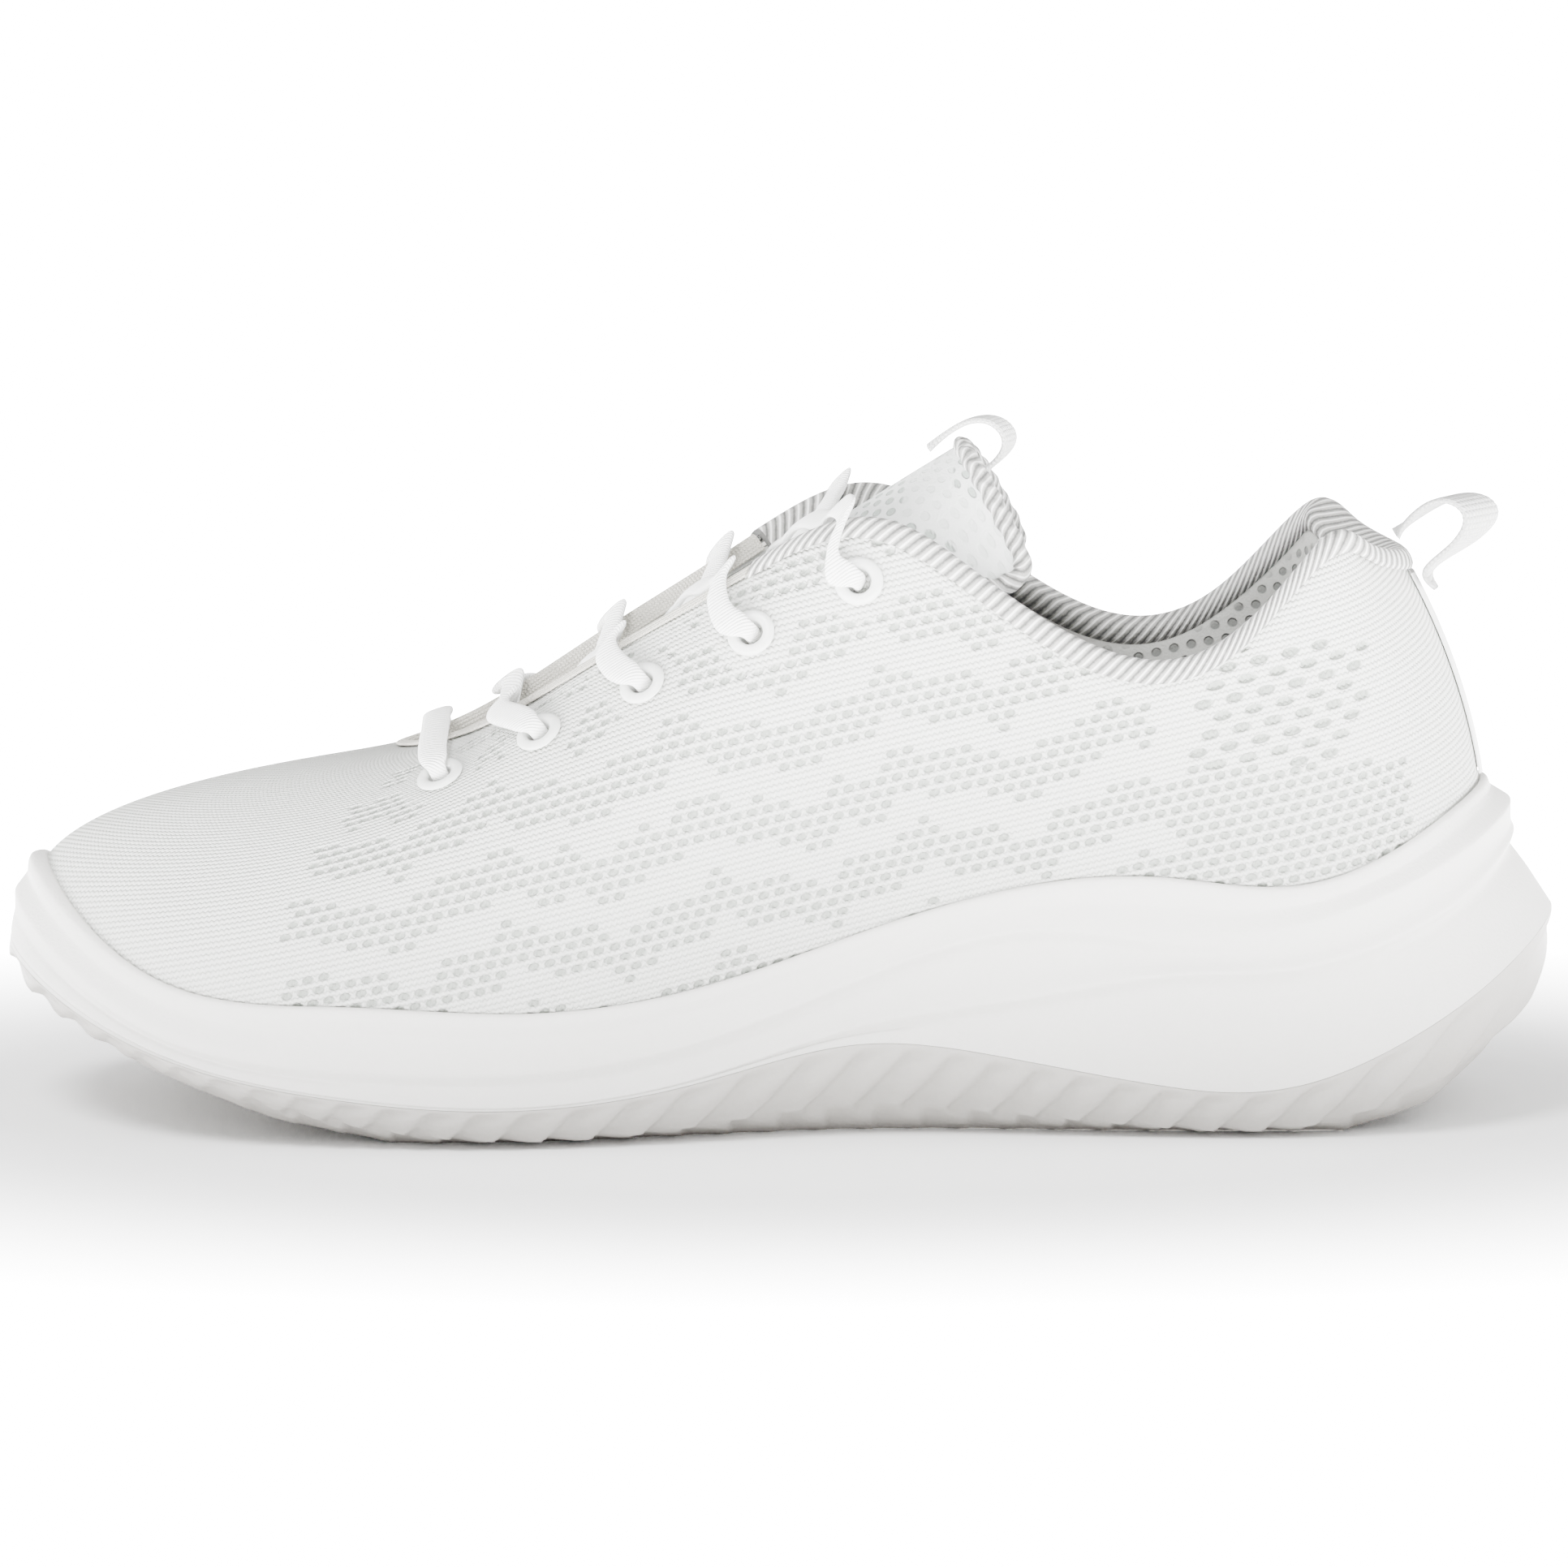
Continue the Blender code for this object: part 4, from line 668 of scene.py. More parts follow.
def braid_finish():
    """Soft braided cord: fine slanted ribs under short fibres, with painted shade between the ribs."""
    finish = Finish("lace_braid", (0.90, 0.90, 0.885), 0.85, sheen_weight=0.3)
    ribs = finish.group(RIBS, "UV", pitch=0.0007, slant=0.6)["Height"]
    fibre = finish.group(GRAIN, scale=3000.0)["Grain"]
    height = plus(finish.tree, ribs, fibre)
    # Painted shade: the cord is coloured darker between its ribs.
    finish.paint(finish.mix(ribs, (0.82, 0.82, 0.80), finish.colour))
    return finish.relief(height, 0.00016).material


def film_finish(name, colour, roughness=0.45):
    """Smooth film or board with a faint grain."""
    dark = tuple(c * 0.97 for c in colour)
    return Finish(name, colour, roughness).grained(1300.0, dark, colour, 0.00008)


def eyelet_finish():
    """Pressed, slightly glossy film of the eyelet rings."""
    finish = Finish("eyelet_ring_film", (0.66, 0.67, 0.65), 0.28, coat_weight=0.3)
    return finish.grained(1200.0, (0.62, 0.63, 0.61), (0.69, 0.70, 0.68), 0.00006)


KNIT_LOOK = knit_finish()
FOAM_LOOK = foam_finish()
RUBBER_LOOK = rubber_finish()
BINDING_LOOK = binding_finish()
LACE_LOOK = braid_finish()
EYELET_LOOK = eyelet_finish()
# The second colour of each spacer mesh is the painted shade in its cells.
LINING_LOOK = spacer_finish("lining_spacer_mesh", (0.42, 0.422, 0.40), (0.16, 0.165, 0.155), 0.0036, 0.0005)
TONGUE_LOOK = spacer_finish("tongue_spacer_mesh", (0.62, 0.635, 0.62), (0.32, 0.36, 0.33), 0.0030, 0.0005)
FOOTBED_LOOK = webbing_finish("sockliner_top_cloth", (0.62, 0.625, 0.61), 0.0008)
HEEL_WEB_LOOK = webbing_finish("heel_loop_webbing", (0.48, 0.48, 0.47))
TONGUE_WEB_LOOK = webbing_finish("tongue_loop_webbing", (0.64, 0.64, 0.625), 0.0009)
TAPE_LOOK = webbing_finish("throat_tape_weave", (0.60, 0.575, 0.51), 0.0007)
STAY_LOOK = film_finish("heel_stay_film", (0.68, 0.68, 0.67))
AGLET_LOOK = film_finish("aglet_sleeve", (0.82, 0.84, 0.84), 0.2)
HIDDEN_LOOK = film_finish("inner_board", (0.76, 0.74, 0.70), 0.7)


# ---- knit upper ----
def unrolled_place(points, rim_index=0):
    """Flat coordinates of the knit: the distance along the rim, sheared with each column, and the height
    above the ground measured along the cloth."""
    rim = points[:, rim_index]
    tangent = unit(np.gradient(rim[:, :2], axis=0))
    tangent = np.concatenate([tangent, np.zeros((len(tangent), 1))], 1)
    step = np.diff(points, axis=1, prepend=points[:, :1])
    side = np.einsum("crk,ck->cr", step, tangent)
    rise = np.sqrt(np.maximum((step**2).sum(2) - side**2, 0))
    height = rim[:, 2:3] + np.cumsum(rise, 1) - np.cumsum(rise, 1)[:, rim_index:rim_index + 1]
    shift = np.cumsum(side, 1) - np.cumsum(side, 1)[:, rim_index:rim_index + 1]
    length = run_length(rim[:, :2])
    return length[:, None] + shift, height


HOLE_SINK = 0.0006            # depth to which an open stitch is pressed in
EYELET_PLAIN = 0.0075         # radius of the plain knit about an eyelet
EYELET_DENT = 0.0022          # depth of the dark bore under an eyelet


def lattice_holes(x, y, sizes):
    """Staggered oval holes: how deep each place lies in one, from 0 to 1, and its cell's centre."""
    p = x * COURSE_COS + y * COURSE_SIN
    q = y * COURSE_COS - x * COURSE_SIN
    row = np.floor(q / sizes["pitch_across"])
    shift = 0.5 * (row % 2)
    column = np.floor(p / sizes["pitch_along"] + shift)
    centre_p = (column + 0.5 - shift) * sizes["pitch_along"]
    centre_q = (row + 0.5) * sizes["pitch_across"]
    reach = ((p - centre_p) / sizes["half_length"])**2 + ((q - centre_q) / sizes["half_width"])**2
    centre_x = centre_p * COURSE_COS - centre_q * COURSE_SIN
    centre_y = centre_q * COURSE_COS + centre_p * COURSE_SIN
    return smooth_step(1.3, 0.5, reach), centre_x, centre_y


def saw(x):
    """Triangle wave between 0 and 1."""
    return 2 * np.abs(x - np.floor(x + 0.5))


def open_regions(x, z, away):
    """Where the knit is open: zigzag bands on the sides, none at toe, heel, edges and eyelets."""
    along = x * COURSE_COS + z * COURSE_SIN
    across = z * COURSE_COS - x * COURSE_SIN
    band = across / 0.0150 + 0.42 * saw(along / 0.040) + 0.18 * saw(along / 0.013)
    bands = (band - np.floor(band)) < 0.60
    side = (x > -0.094) & (x < 0.104) & (away > 0.0055)
    low_heel = (x > 0.075) & (x < 0.120) & (z < 0.071) & (z > 0.050)
    high_heel = (x > 0.070) & (z > 0.070)
    return ((bands & side & ~high_heel) | low_heel).astype(float)


def heel_region(x, z, away):
    """Where the larger holes are: a fan below the collar at the heel."""
    fan = (x > 0.078) & (x < 0.113 - 0.25 * (0.090 - z)) & (z > 0.071) & (z < 0.094)
    return (fan & (away > 0.006)).astype(float)


FINE_COLUMNS = 300
FINE_ROWS = 150
RIM_AT = 7                    # row of the fine grid that lies at the rim
TOE_X = -0.160                # unrolled x of the toe, so that x is true at the middle of a side


def eyelet_places():
    """Centre, outward normal and direction along the row for every eyelet, by side."""
    places = {}
    for side in (INNER, OUTER):
        for index, (station, share) in enumerate(EYELETS):
            u = station if side == INNER else STATIONS - station
            centre = upper_at(u, share)
            normal = upper_out(u, share)
            ahead = upper_at(u + 0.01 * side, share) - centre
            places[side, index] = (centre, normal, unit(ahead - normal * np.dot(ahead, normal)))
    return places


EYELET_PLACES = eyelet_places()


def knit_quarter(name, first):
    """A quarter of the knit from station first to first + 5, with the open knit's holes pressed in."""
    margin = 2
    u = first + (np.arange(FINE_COLUMNS + 1 + 2 * margin) - margin) * 5 / FINE_COLUMNS
    foot = rim_share(u) - 0.035
    t = np.linspace(0, 1, FINE_ROWS + 1)
    s = foot[:, None] + (1 - foot[:, None]) * t
    grid_u = np.broadcast_to(u[:, None], s.shape)
    points = upper_at(grid_u, s)
    normal = upper_out(grid_u, s)
    x_flat, height = unrolled_place(points, RIM_AT)
    x_flat = x_flat - x_flat[margin, RIM_AT] + rim_length(first)
    side_x = np.abs(x_flat - HALF_RIM) + TOE_X
    away = (1 - t)[None, :] * np.linalg.norm(points[:, -1] - points[:, 0], axis=1)[:, None] * 1.15
    hole, centre_x, centre_y = lattice_holes(side_x, height, SIDE_HOLES)
    big_hole, big_x, big_y = lattice_holes(side_x, height, HEEL_HOLES)
    opened = open_regions(centre_x, centre_y, away)
    heel = heel_region(big_x, big_y, away)
    bores = 0
    for centre, _, _ in EYELET_PLACES.values():
        gap = np.linalg.norm(points - centre, axis=2)
        opened = opened * (gap > EYELET_PLAIN)
        bores = bores + EYELET_DENT * smooth_step(0.0028, 0.0018, gap)
    depth = HOLE_SINK * np.maximum(opened * hole, heel * big_hole) + bores
    outer = points - normal * depth[:, :, None]
    along_step = np.gradient(outer, axis=0)
    up_step = np.gradient(outer, axis=1)
    shading = unit(np.cross(up_step, along_step))
    keep = slice(margin, margin + FINE_COLUMNS + 1)
    inner = (points - normal * KNIT_THICK - normal * depth[:, :, None])[keep]
    uv = np.stack([side_x, height], -1)[keep]
    normals = np.concatenate([shading[keep].reshape(-1, 3), -normal[keep].reshape(-1, 3)])
    piece = sheet_solid(name, outer[keep], inner, uv, KNIT_LOOK, normals=normals,
                        masks={"open_knit": opened[keep], "open_heel": heel[keep]})
    return piece


def rim_loop(u):
    """Points where the upper meets the midsole, for the stations u."""
    return upper_at(u, rim_share(u))


RIM_U = np.linspace(0, STATIONS, 1201)
RIM_POINTS = rim_loop(RIM_U)
RIM_LENGTHS = run_length(RIM_POINTS[:, :2])


def rim_length(u):
    """Length along the rim from the back centre to station u."""
    return float(np.interp(u, RIM_U, RIM_LENGTHS))


HALF_RIM = rim_length(10)


def build_upper():
    """The knit in four quarters, which meet without a step."""
    names = ("upper_heel_medial", "upper_front_medial", "upper_front_lateral", "upper_heel_lateral")
    for i, name in enumerate(names):
        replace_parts(knit_quarter(name, 5 * i), "upper_knit")


# ---- sole ----
SOLE_COLUMNS = 960


def plan_normals(loop):
    """Outward directions in plan, square to the loop."""
    step = np.roll(loop, -1, 0) - np.roll(loop, 1, 0)
    out = unit(np.stack([step[:, 1], -step[:, 0], np.zeros(len(loop))], 1))
    return out if np.sum((loop - loop.mean(0)) * out) > 0 else -out


SOLE_U = np.arange(SOLE_COLUMNS) * STATIONS / SOLE_COLUMNS
SOLE_RIM = rim_loop(SOLE_U)
SOLE_OUT = plan_normals(SOLE_RIM)
LINES = sole_lines(SOLE_U)


def stand_out(flare, height):
    """Loop that stands out from the rim by flare, at the given height; both in metres."""
    loop = SOLE_RIM + SOLE_OUT * np.broadcast_to(flare, (SOLE_COLUMNS,))[:, None]
    loop[:, 2] = height
    return loop


def draw_in(loop, distance, height):
    """The loop moved inwards in plan by a distance and set to a height."""
    moved = loop - plan_normals(loop) * distance
    moved[:, 2] = height
    return moved


def profile_rows(knots, counts, rounds):
    """Rows of (flare, height) between knots, rounded by averaging each row with its neighbours."""
    rows = []
    for a, b, n in zip(knots[:-1], knots[1:], counts):
        rows += [a + (b - a) * k / n for k in range(n)]
    rows = np.array(rows + [knots[-1]])
    for _ in range(rounds):
        rows[1:-1] = (rows[:-2] + 2 * rows[1:-1] + rows[2:]) / 4
    return rows


def toward_middle(loop, share, height=None):
    """The loop drawn towards the shoe's middle line: each point moves towards the one opposite."""
    opposite = loop[(-np.arange(len(loop))) % len(loop)]
    middle = (loop + opposite) / 2
    drawn = loop * (1 - share) + middle * share
    if height is not None:
        drawn[:, 2] = height
    return drawn


def midsole_rows():
    """Outer wall of the midsole at every column, from inside the lip over both creases to the outsole:
    each knot is a flare from the rim and a height. c, f, d and e are a crease's height, flare, depth
    and half width."""
    rim, c1, c2, out = (LINES[:, i] * MM for i in range(4))
    f1, f2, fo = (LINES[:, i] * MM for i in (5, 6, 7))
    d1, d2 = (np.maximum(LINES[:, i], 0) * MM for i in (9, 10))
    toe = np.exp(-((heel_distance(SOLE_U) - 10) / 0.8)**2)
    lip = (2.0 + 1.8 * toe) * MM
    e1 = np.minimum(1.2 * MM, 0.28 * (c1 - c2))
    e2 = np.minimum(1.2 * MM, 0.28 * (c2 - out))
    wall = rim - c1
    hollow = np.minimum(0.9 * MM, 0.08 * wall)

    def knot(flare, height):
        return np.stack([np.broadcast_to(flare, rim.shape), height], 1)

    knots = [
        knot(-0.0006, rim - 0.0020), knot(0.0001, rim), knot(0.35 * lip, rim + 0.0006),
        knot(0.9 * lip, rim + 0.0001), knot(lip + 0.0002, rim - 0.0014),
        knot(0.65 * lip + 0.35 * f1 - hollow, rim - 0.40 * wall), knot(f1 - 0.3 * d1, c1 + 0.22 * wall),
        knot(f1, c1 + 0.3 * e1), knot(f1 - 0.35 * d1, c1 - 0.5 * e1), knot(f1 - d1, c1 - 1.6 * e1),
        knot(0.45 * (f1 - d1) + 0.55 * f2 - 0.25 * d2, 0.4 * c1 + 0.6 * c2), knot(f2, c2 + 0.4 * e2),
        knot(f2 - 0.35 * d2, c2 - 0.5 * e2), knot(f2 - d2, c2 - 1.6 * e2),
        knot(0.5 * (f2 - d2) + 0.5 * fo - 0.2 * d2, 0.5 * c2 + 0.5 * out), knot(fo, out + 0.0001),
    ]
    return profile_rows(knots, (3, 3, 4, 4, 8, 7, 5, 3, 3, 6, 6, 3, 3, 7, 8), 2)


def footbed_floor(u):
    """Feather points of the upper with the height of the cup's floor."""
    return upper_at(u, np.zeros(len(u)))


def build_midsole():
    """Cup of foam: its floor, its inner wall, the sculpted outer wall and a flat underside."""
    rows = midsole_rows()
    loops = [stand_out(row[:, 0], row[:, 1]) for row in rows]
    feather = footbed_floor(SOLE_U)
    inside = [(1 - k) * loops[0] + k * feather for k in (0.95, 0.5)]
    loops = [toward_middle(feather, 0.9), *inside, *loops]
    out = LINES[:, 3] * MM
    under = draw_in(stand_out(LINES[:, 7] * MM, out), 0.003, out + 0.0003)
    loops += [under, toward_middle(under, 0.9, out + 0.0003)]
    piece = shell("midsole_cup", np.array(loops), FOAM_LOOK, sharp=75)
    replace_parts(piece, "midsole")


RIB_PITCH = 0.0090
RIB_LEAN = 0.95               # how far a rib leans back for each unit it rises
RIB_DEPTH = 0.0014
TREAD_PITCH = 0.0115
UNDER_EDGE = 0.0070           # width of the rounded border between the wall and the tread
TREAD_PROUD = 0.0008          # least drop from the wall's lower edge to the tread


def rib_wave(x, z):
    """Overlapping scales: the height climbs along each rib and drops at its trailing edge."""
    phase = (x - RIB_LEAN * z + 4.0 * z * z) / RIB_PITCH
    part = phase - np.floor(phase)
    return smooth_step(0.0, 0.82, part) * smooth_step(1.0, 0.9, part)


def tread_height(loop):
    """Height of the tread below each point of a loop, from the rocker's line."""
    return np.interp((loop[:, 0] - CENTRE[0]) / MM, TREAD_X, TREAD_Z) * MM


def build_outsole():
    """Tray of rubber: a wall of overlapping ribs that turns under into a tread of bars and two grooves."""
    out, low = (LINES[:, i] * MM for i in (3, 4))
    f_out, f_low = (LINES[:, i] * MM for i in (7, 8))
    wall_rows = 26
    t = np.linspace(0, 1, wall_rows)[:, None]
    height = out * (1 - t) + low * t
    flare = f_out * (1 - t**1.6) + f_low * t**1.6 + 0.0006 * np.sin(math.pi * t)
    loops = []
    for k in range(wall_rows):
        loop = stand_out(flare[k], height[k])
        share = smooth_step(0.02, 0.30, float(t[k, 0]))
        ribs = RIB_DEPTH * (rib_wave(loop[:, 0], loop[:, 2]) - 1) * share
        loop = loop + SOLE_OUT * ribs[:, None]
        if t[k, 0] > 0.7:
            loop[:, 2] -= ribs * 0.5 * (t[k, 0] - 0.7) / 0.3
        loops.append(loop)
    base = stand_out(f_low, low)
    for inward in (0.0020, 0.0045, UNDER_EDGE):
        edge = draw_in(base, inward, 0)
        flat = np.minimum(tread_height(edge), low - TREAD_PROUD)
        share = inward / UNDER_EDGE       # 0 at the wall's lower edge, 1 at the tread
        ribs = 0.0010 * (1 - rib_wave(edge[:, 0], edge[:, 2])) * (1 - 0.4 * share)
        edge[:, 2] = low * (1 - share) + flat * share + ribs
        loops.append(edge)
    edge = draw_in(base, UNDER_EDGE, 0)
    flat = np.minimum(tread_height(edge), low - TREAD_PROUD)
    for share in np.linspace(0.02, 0.97, 40):
        loop = toward_middle(edge, share, flat)
        away = np.abs(loop[:, 1] - toward_middle(edge, 1.0)[:, 1])
        phase = loop[:, 0] / TREAD_PITCH + 0.5 * np.sin(loop[:, 1] * 90)
        bars = smooth_step(0.25, 0.05, np.abs(phase % 1 - 0.5))
        flex = smooth_step(0.0035, 0.0020, np.abs(away - 0.012))
        loop[:, 2] = flat + 0.0016 * np.maximum(bars, flex) * smooth_step(0.02, 0.12, share)
        loops.append(loop)
    tray = draw_in(stand_out(f_out, out), 0.003, out)
    loops = [toward_middle(tray, 0.9, out - 0.001), tray, *loops]
    piece = shell("outsole_tread", np.array(loops), RUBBER_LOOK, sharp=75)
    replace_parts(piece, "outsole")


FOOTBED_INSET = 0.0048        # gap in plan between the cloth's edge and the upper's lower edge
FOOTBED_TOP = 0.0068          # height of the cloth above the upper's lower edge


def build_footbed():
    """Soft top cloth of the sockliner: dished, with a rolled edge, over the whole inner floor."""
    feather = footbed_floor(SOLE_U)
    edge = draw_in(feather, FOOTBED_INSET, 0)
    top = feather[:, 2] + FOOTBED_TOP
    dips = ((0.0, 0.0006), (0.03, 0.0), (0.10, 0.0), (0.3, 0.0004), (0.6, 0.0009), (0.95, 0.0012))
    loops = [toward_middle(edge, share, top - dip) for share, dip in dips]
    loops = [toward_middle(edge, 0.9, top - 0.0022), toward_middle(edge, 0.0, top - 0.0018), *loops]
    piece = shell("sockliner_top", np.array(loops), FOOTBED_LOOK, sharp=40)
    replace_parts(piece, "sockliner_cover")


# ---- lining, padding and edges ----
LINING_TOP = 0.0026           # depth of the lining's back below the knit's face
COLLAR_ROWS = (0.2, 0.4, 0.58, 0.75, 0.89, 1.0)
COLLAR_BULGE = (0, 0.45, 1, 1, 0.6, 0.12)
LINING_COLUMNS = 720
LINING_ROWS = 70
LINING_RIM_AT = 6             # row of the lining's grid that lies at the rim


def lining_back(u):
    """Depth of the lining's back: it stands in further over the heel counter."""
    return LINING_TOP + 0.0004 * smooth_step(4.8, 3.8, heel_distance(u))


def lining_face(u, rise):
    """Depth of the lining's inner face: back, padding and cloth; rise is 0 at the rim and 1 at the edge."""
    bulge = np.interp(rise, COLLAR_ROWS, COLLAR_BULGE)
    padding = COLLAR_PADDING * bulge * smooth_step(COLLAR_END - 0.2, COLLAR_END - 2, heel_distance(u))
    return lining_back(u) + padding + LINING_THICK


def build_lining():
    """Lining with the collar's foam behind it, as one padded body inside the knit."""
    u = np.arange(LINING_COLUMNS) * STATIONS / LINING_COLUMNS
    rim = rim_share(u)[:, None]
    rise = np.linspace(-0.1, 1, LINING_ROWS)[None, :]
    s = np.clip(rim + (1 - rim) * rise, 0.02, 1)
    grid_u = np.broadcast_to(u[:, None], s.shape)
    points = upper_at(grid_u, s)
    normal = upper_out(grid_u, s)
    rise = np.broadcast_to(rise, s.shape)
    outer = points - normal * lining_back(grid_u)[:, :, None]
    inner = points - normal * lining_face(grid_u, rise)[:, :, None]
    closed = points[list(range(LINING_COLUMNS)) + [0]]
    x_flat, height = unrolled_place(closed, LINING_RIM_AT)
    uv = np.stack([x_flat, height], -1)
    masks = {"open_mesh": smooth_step(0.93, 0.85, rise) * smooth_step(0.1, 0.25, rise)}
    piece = sheet_solid("collar_padding", outer, inner, uv, LINING_LOOK, masks=masks, close=True)
    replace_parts(piece, "lining", "collar_foam")


def edge_frame(u):
    """Point, outward normal and upward direction at the opening's edge."""
    point = upper_at(u, np.ones(len(u)))
    normal = upper_out(u, np.ones(len(u)))
    up = unit(point - upper_at(u, np.full(len(u), 0.97)))
    return point, normal, up


def folded_strip(centreline, thick):
    """Closed outline round a bent strip: centreline points (n, 2), half the thickness to each side."""
    step = np.gradient(centreline, axis=0)
    side = unit(np.stack([-step[:, 1], step[:, 0]], 1))
    taper = np.sqrt(np.clip(1 - np.linspace(-1, 1, len(centreline))**12, 0.05, 1))[:, None]
    half = side * thick / 2 * taper
    return np.concatenate([centreline + half, (centreline - half)[::-1]])


def edge_strip(name, u, leg, thick, gap, inner_leg, look, node, plump=0.0):
    """Strip folded over the opening's edge: down the outside by leg and down the inside by inner_leg."""
    point, normal, up = edge_frame(u)
    reach = gap + thick / 2
    depth = lining_face(u, np.ones(len(u)))
    rings = []
    for i in range(len(u)):
        far = depth[i] + reach if inner_leg > 0 else depth[i] - 0.0004
        route = [(-leg, -reach), (-leg * 0.45, -reach - plump), (reach * 0.5, -reach)]
        route += [(reach, depth[i] * 0.25), (reach, depth[i] * 0.75)]
        route += [(reach * 0.5, far), (-inner_leg, far + plump)] if inner_leg > 0 else [(reach, far)]
        outline = folded_strip(open_spline(route, np.linspace(0, 1, 17)), thick)
        rings.append(point[i] + up[i] * outline[:, :1] - normal[i] * outline[:, 1:])
    piece = sweep(name, np.array(rings), look, sharp=80)
    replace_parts(piece, node)


def build_edges():
    """Collar tape round the ankle opening and thin edging round the lacing opening."""
    edge_strip("collar_tape", np.linspace(-COLLAR_END, COLLAR_END, 420), 0.0034, 0.0011, 0.0003, 0.0026,
               BINDING_LOOK, "collar_binding", 0.0004)
    start = COLLAR_END + 0.04
    edge_strip("throat_edging", np.linspace(start, STATIONS - start, 240), 0.0020, 0.0006, 0.0004, 0,
               TAPE_LOOK, "throat_tape")


def build_heel_stay():
    """Thin film strip up the back seam, a little proud of the knit."""
    width = 0.0045 / np.linalg.norm(upper_at(0.1, 0.6) - upper_at(0, 0.6)) * 0.1
    u = np.linspace(-width, width, 15)
    rim = rim_share(u)[:, None]
    rise = np.linspace(0.03, 0.90, 60)[None, :]
    s = rim + (1 - rim) * rise
    grid_u = np.broadcast_to(u[:, None], s.shape)
    points = upper_at(grid_u, s)
    normal = upper_out(grid_u, s)
    edge = np.abs(np.linspace(-1, 1, 15))[:, None, None]
    outer = points + normal * (0.0010 - 0.0004 * edge**6)
    uv = np.stack([grid_u * 0.02, s * 0.06], -1)
    piece = sheet_solid("heel_seam_film", outer, points + normal * 0.0003, uv, STAY_LOOK)
    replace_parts(piece, "heel_stay")


RING_SIDES = 48


def build_eyelets():
    """Rings turned from one rounded profile about each eyelet's axis."""
    bore = EYELET_BORE / 2
    profile = np.array([
        (bore, -STACK), (bore, 0.0002), (bore + 0.0002, 0.0009), (bore + 0.0007, 0.00118),
        (0.0035, 0.00120), (0.0041, 0.00105), (0.0045, 0.00075), (0.0046, 0.0005), (0.0040, 0.00045),
        (bore + 0.0006, 0.00045), (bore + 0.0006, -STACK),
    ])
    turn = full_turn(RING_SIDES)
    for (side, index), (centre, normal, along) in EYELET_PLACES.items():
        across = np.cross(normal, along)
        spoke = np.cos(turn)[:, None] * along + np.sin(turn)[:, None] * across
        rings = centre + profile[None, :, :1] * spoke[:, None] + profile[None, :, 1:] * normal
        node = f"eyelet_{'medial' if side == INNER else 'lateral'}_{index + 1}"
        piece = sweep(f"ring_{node[7:]}", rings, EYELET_LOOK, closed=True, sharp=50,
                      along=np.linspace(0, 0.02, RING_SIDES))
        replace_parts(piece, node)


# ---- tongue ----
# The tongue's five lines. Under the throat: station of the edge, station and row of the wing, how far
# the middle is raised and how far the whole row is lowered (mm). Above it: centre, shoulder and wing.
TONGUE_DEPTH = 0.0059         # depth of the tongue's face below the knit's
TONGUE_UNDER = [
    (9.45, 8.85, 0.83, 0.2, 0), (8.8, 8.35, 0.81, 1.0, 0), (8.0, 7.6, 0.82, 1.8, 0),
    (7.2, 6.85, 0.83, 2.6, 0.4), (6.35, 6.1, 0.92, 3.2, 1.6),
]
TONGUE_BASE = [(8.7, 0.79), (9.3, 0.84), (10.0, 0.885), (10.7, 0.84), (11.3, 0.79)]
TONGUE_TOP = [
    ((23, 0, 120), (27, 13.5, 117), (36, 21.5, 103)),
    ((34, 0, 126.8), (37, 13, 122.5), (46, 21, 106.5)),
]
TONGUE_PADDING = 0.0040
TONGUE_SKIN = 0.0010
BAND_PITCH = 0.0115           # height of one zigzag band of the tongue's mesh
ROPE_PITCH = 0.0045           # length of one twist of the tongue's rolled edge
ROPE_HALF_WIDTH = 0.0018
ROPE_HALF_DEPTH = 0.0028


def below_upper(u, s, depth):
    """Point at a depth below the knit's outer face."""
    return upper_at(u, s) - upper_out(u, s) * depth


def tongue_sections():
    """Rows of five points across the tongue's outer face, from its sewn end to its top."""
    rows = [[below_upper(u, s, TONGUE_DEPTH) for u, s in TONGUE_BASE]]
    for edge, wing, share, crown, extra in TONGUE_UNDER:
        depth = TONGUE_DEPTH + extra * MM
        near = [below_upper(wing, share, depth), below_upper(edge, 1.0, depth)]
        far = [below_upper(STATIONS - edge, 1.0, depth), below_upper(STATIONS - wing, share, depth)]
        middle = (near[1] + far[0]) / 2 + np.array([-0.35, 0, 1]) * crown * MM
        rows.append(near + [middle] + far)
    for centre, shoulder, wing in TONGUE_TOP:
        mirrored = [(wing, -1), (shoulder, -1), (centre, 1), (shoulder, 1), (wing, 1)]
        rows.append([np.array([p[0], p[1] * k, p[2]]) * MM + CENTRE for p, k in mirrored])
    return np.array(rows)


TONGUE_ROWS = tongue_sections()


def tongue_at(a, v):
    """Outer face of the tongue: a = 0 at its base and 1 at its top, v = -1 to 1 across."""
    a, v = np.broadcast_arrays(np.asarray(a, float), np.asarray(v, float))
    lines = np.moveaxis(open_spline(TONGUE_ROWS, np.clip(a, 0, 1)), 1, 0)
    slope = free_slopes(lines.reshape(5, -1)).reshape(lines.shape)
    x = np.clip((v.ravel() + 1) / 2, 0, 1) * 4
    k = np.minimum(x.astype(int), 3)
    f = (x - k)[:, None]
    at = np.arange(lines.shape[1])
    value = cubic(f, lines[k, at], lines[k + 1, at], slope[k, at], slope[k + 1, at])
    return value.reshape(*a.shape, 3)


def tongue_out(a, v):
    """Outward direction of the tongue's face, from differences along and across it."""
    a, v = np.broadcast_arrays(np.asarray(a, float), np.asarray(v, float))
    h = 0.01
    along = tongue_at(np.minimum(a + h, 1), v) - tongue_at(np.maximum(a - h, 0), v)
    across = tongue_at(a, np.minimum(v + h, 1)) - tongue_at(a, np.maximum(v - h, -1))
    return unit(np.cross(along, across))


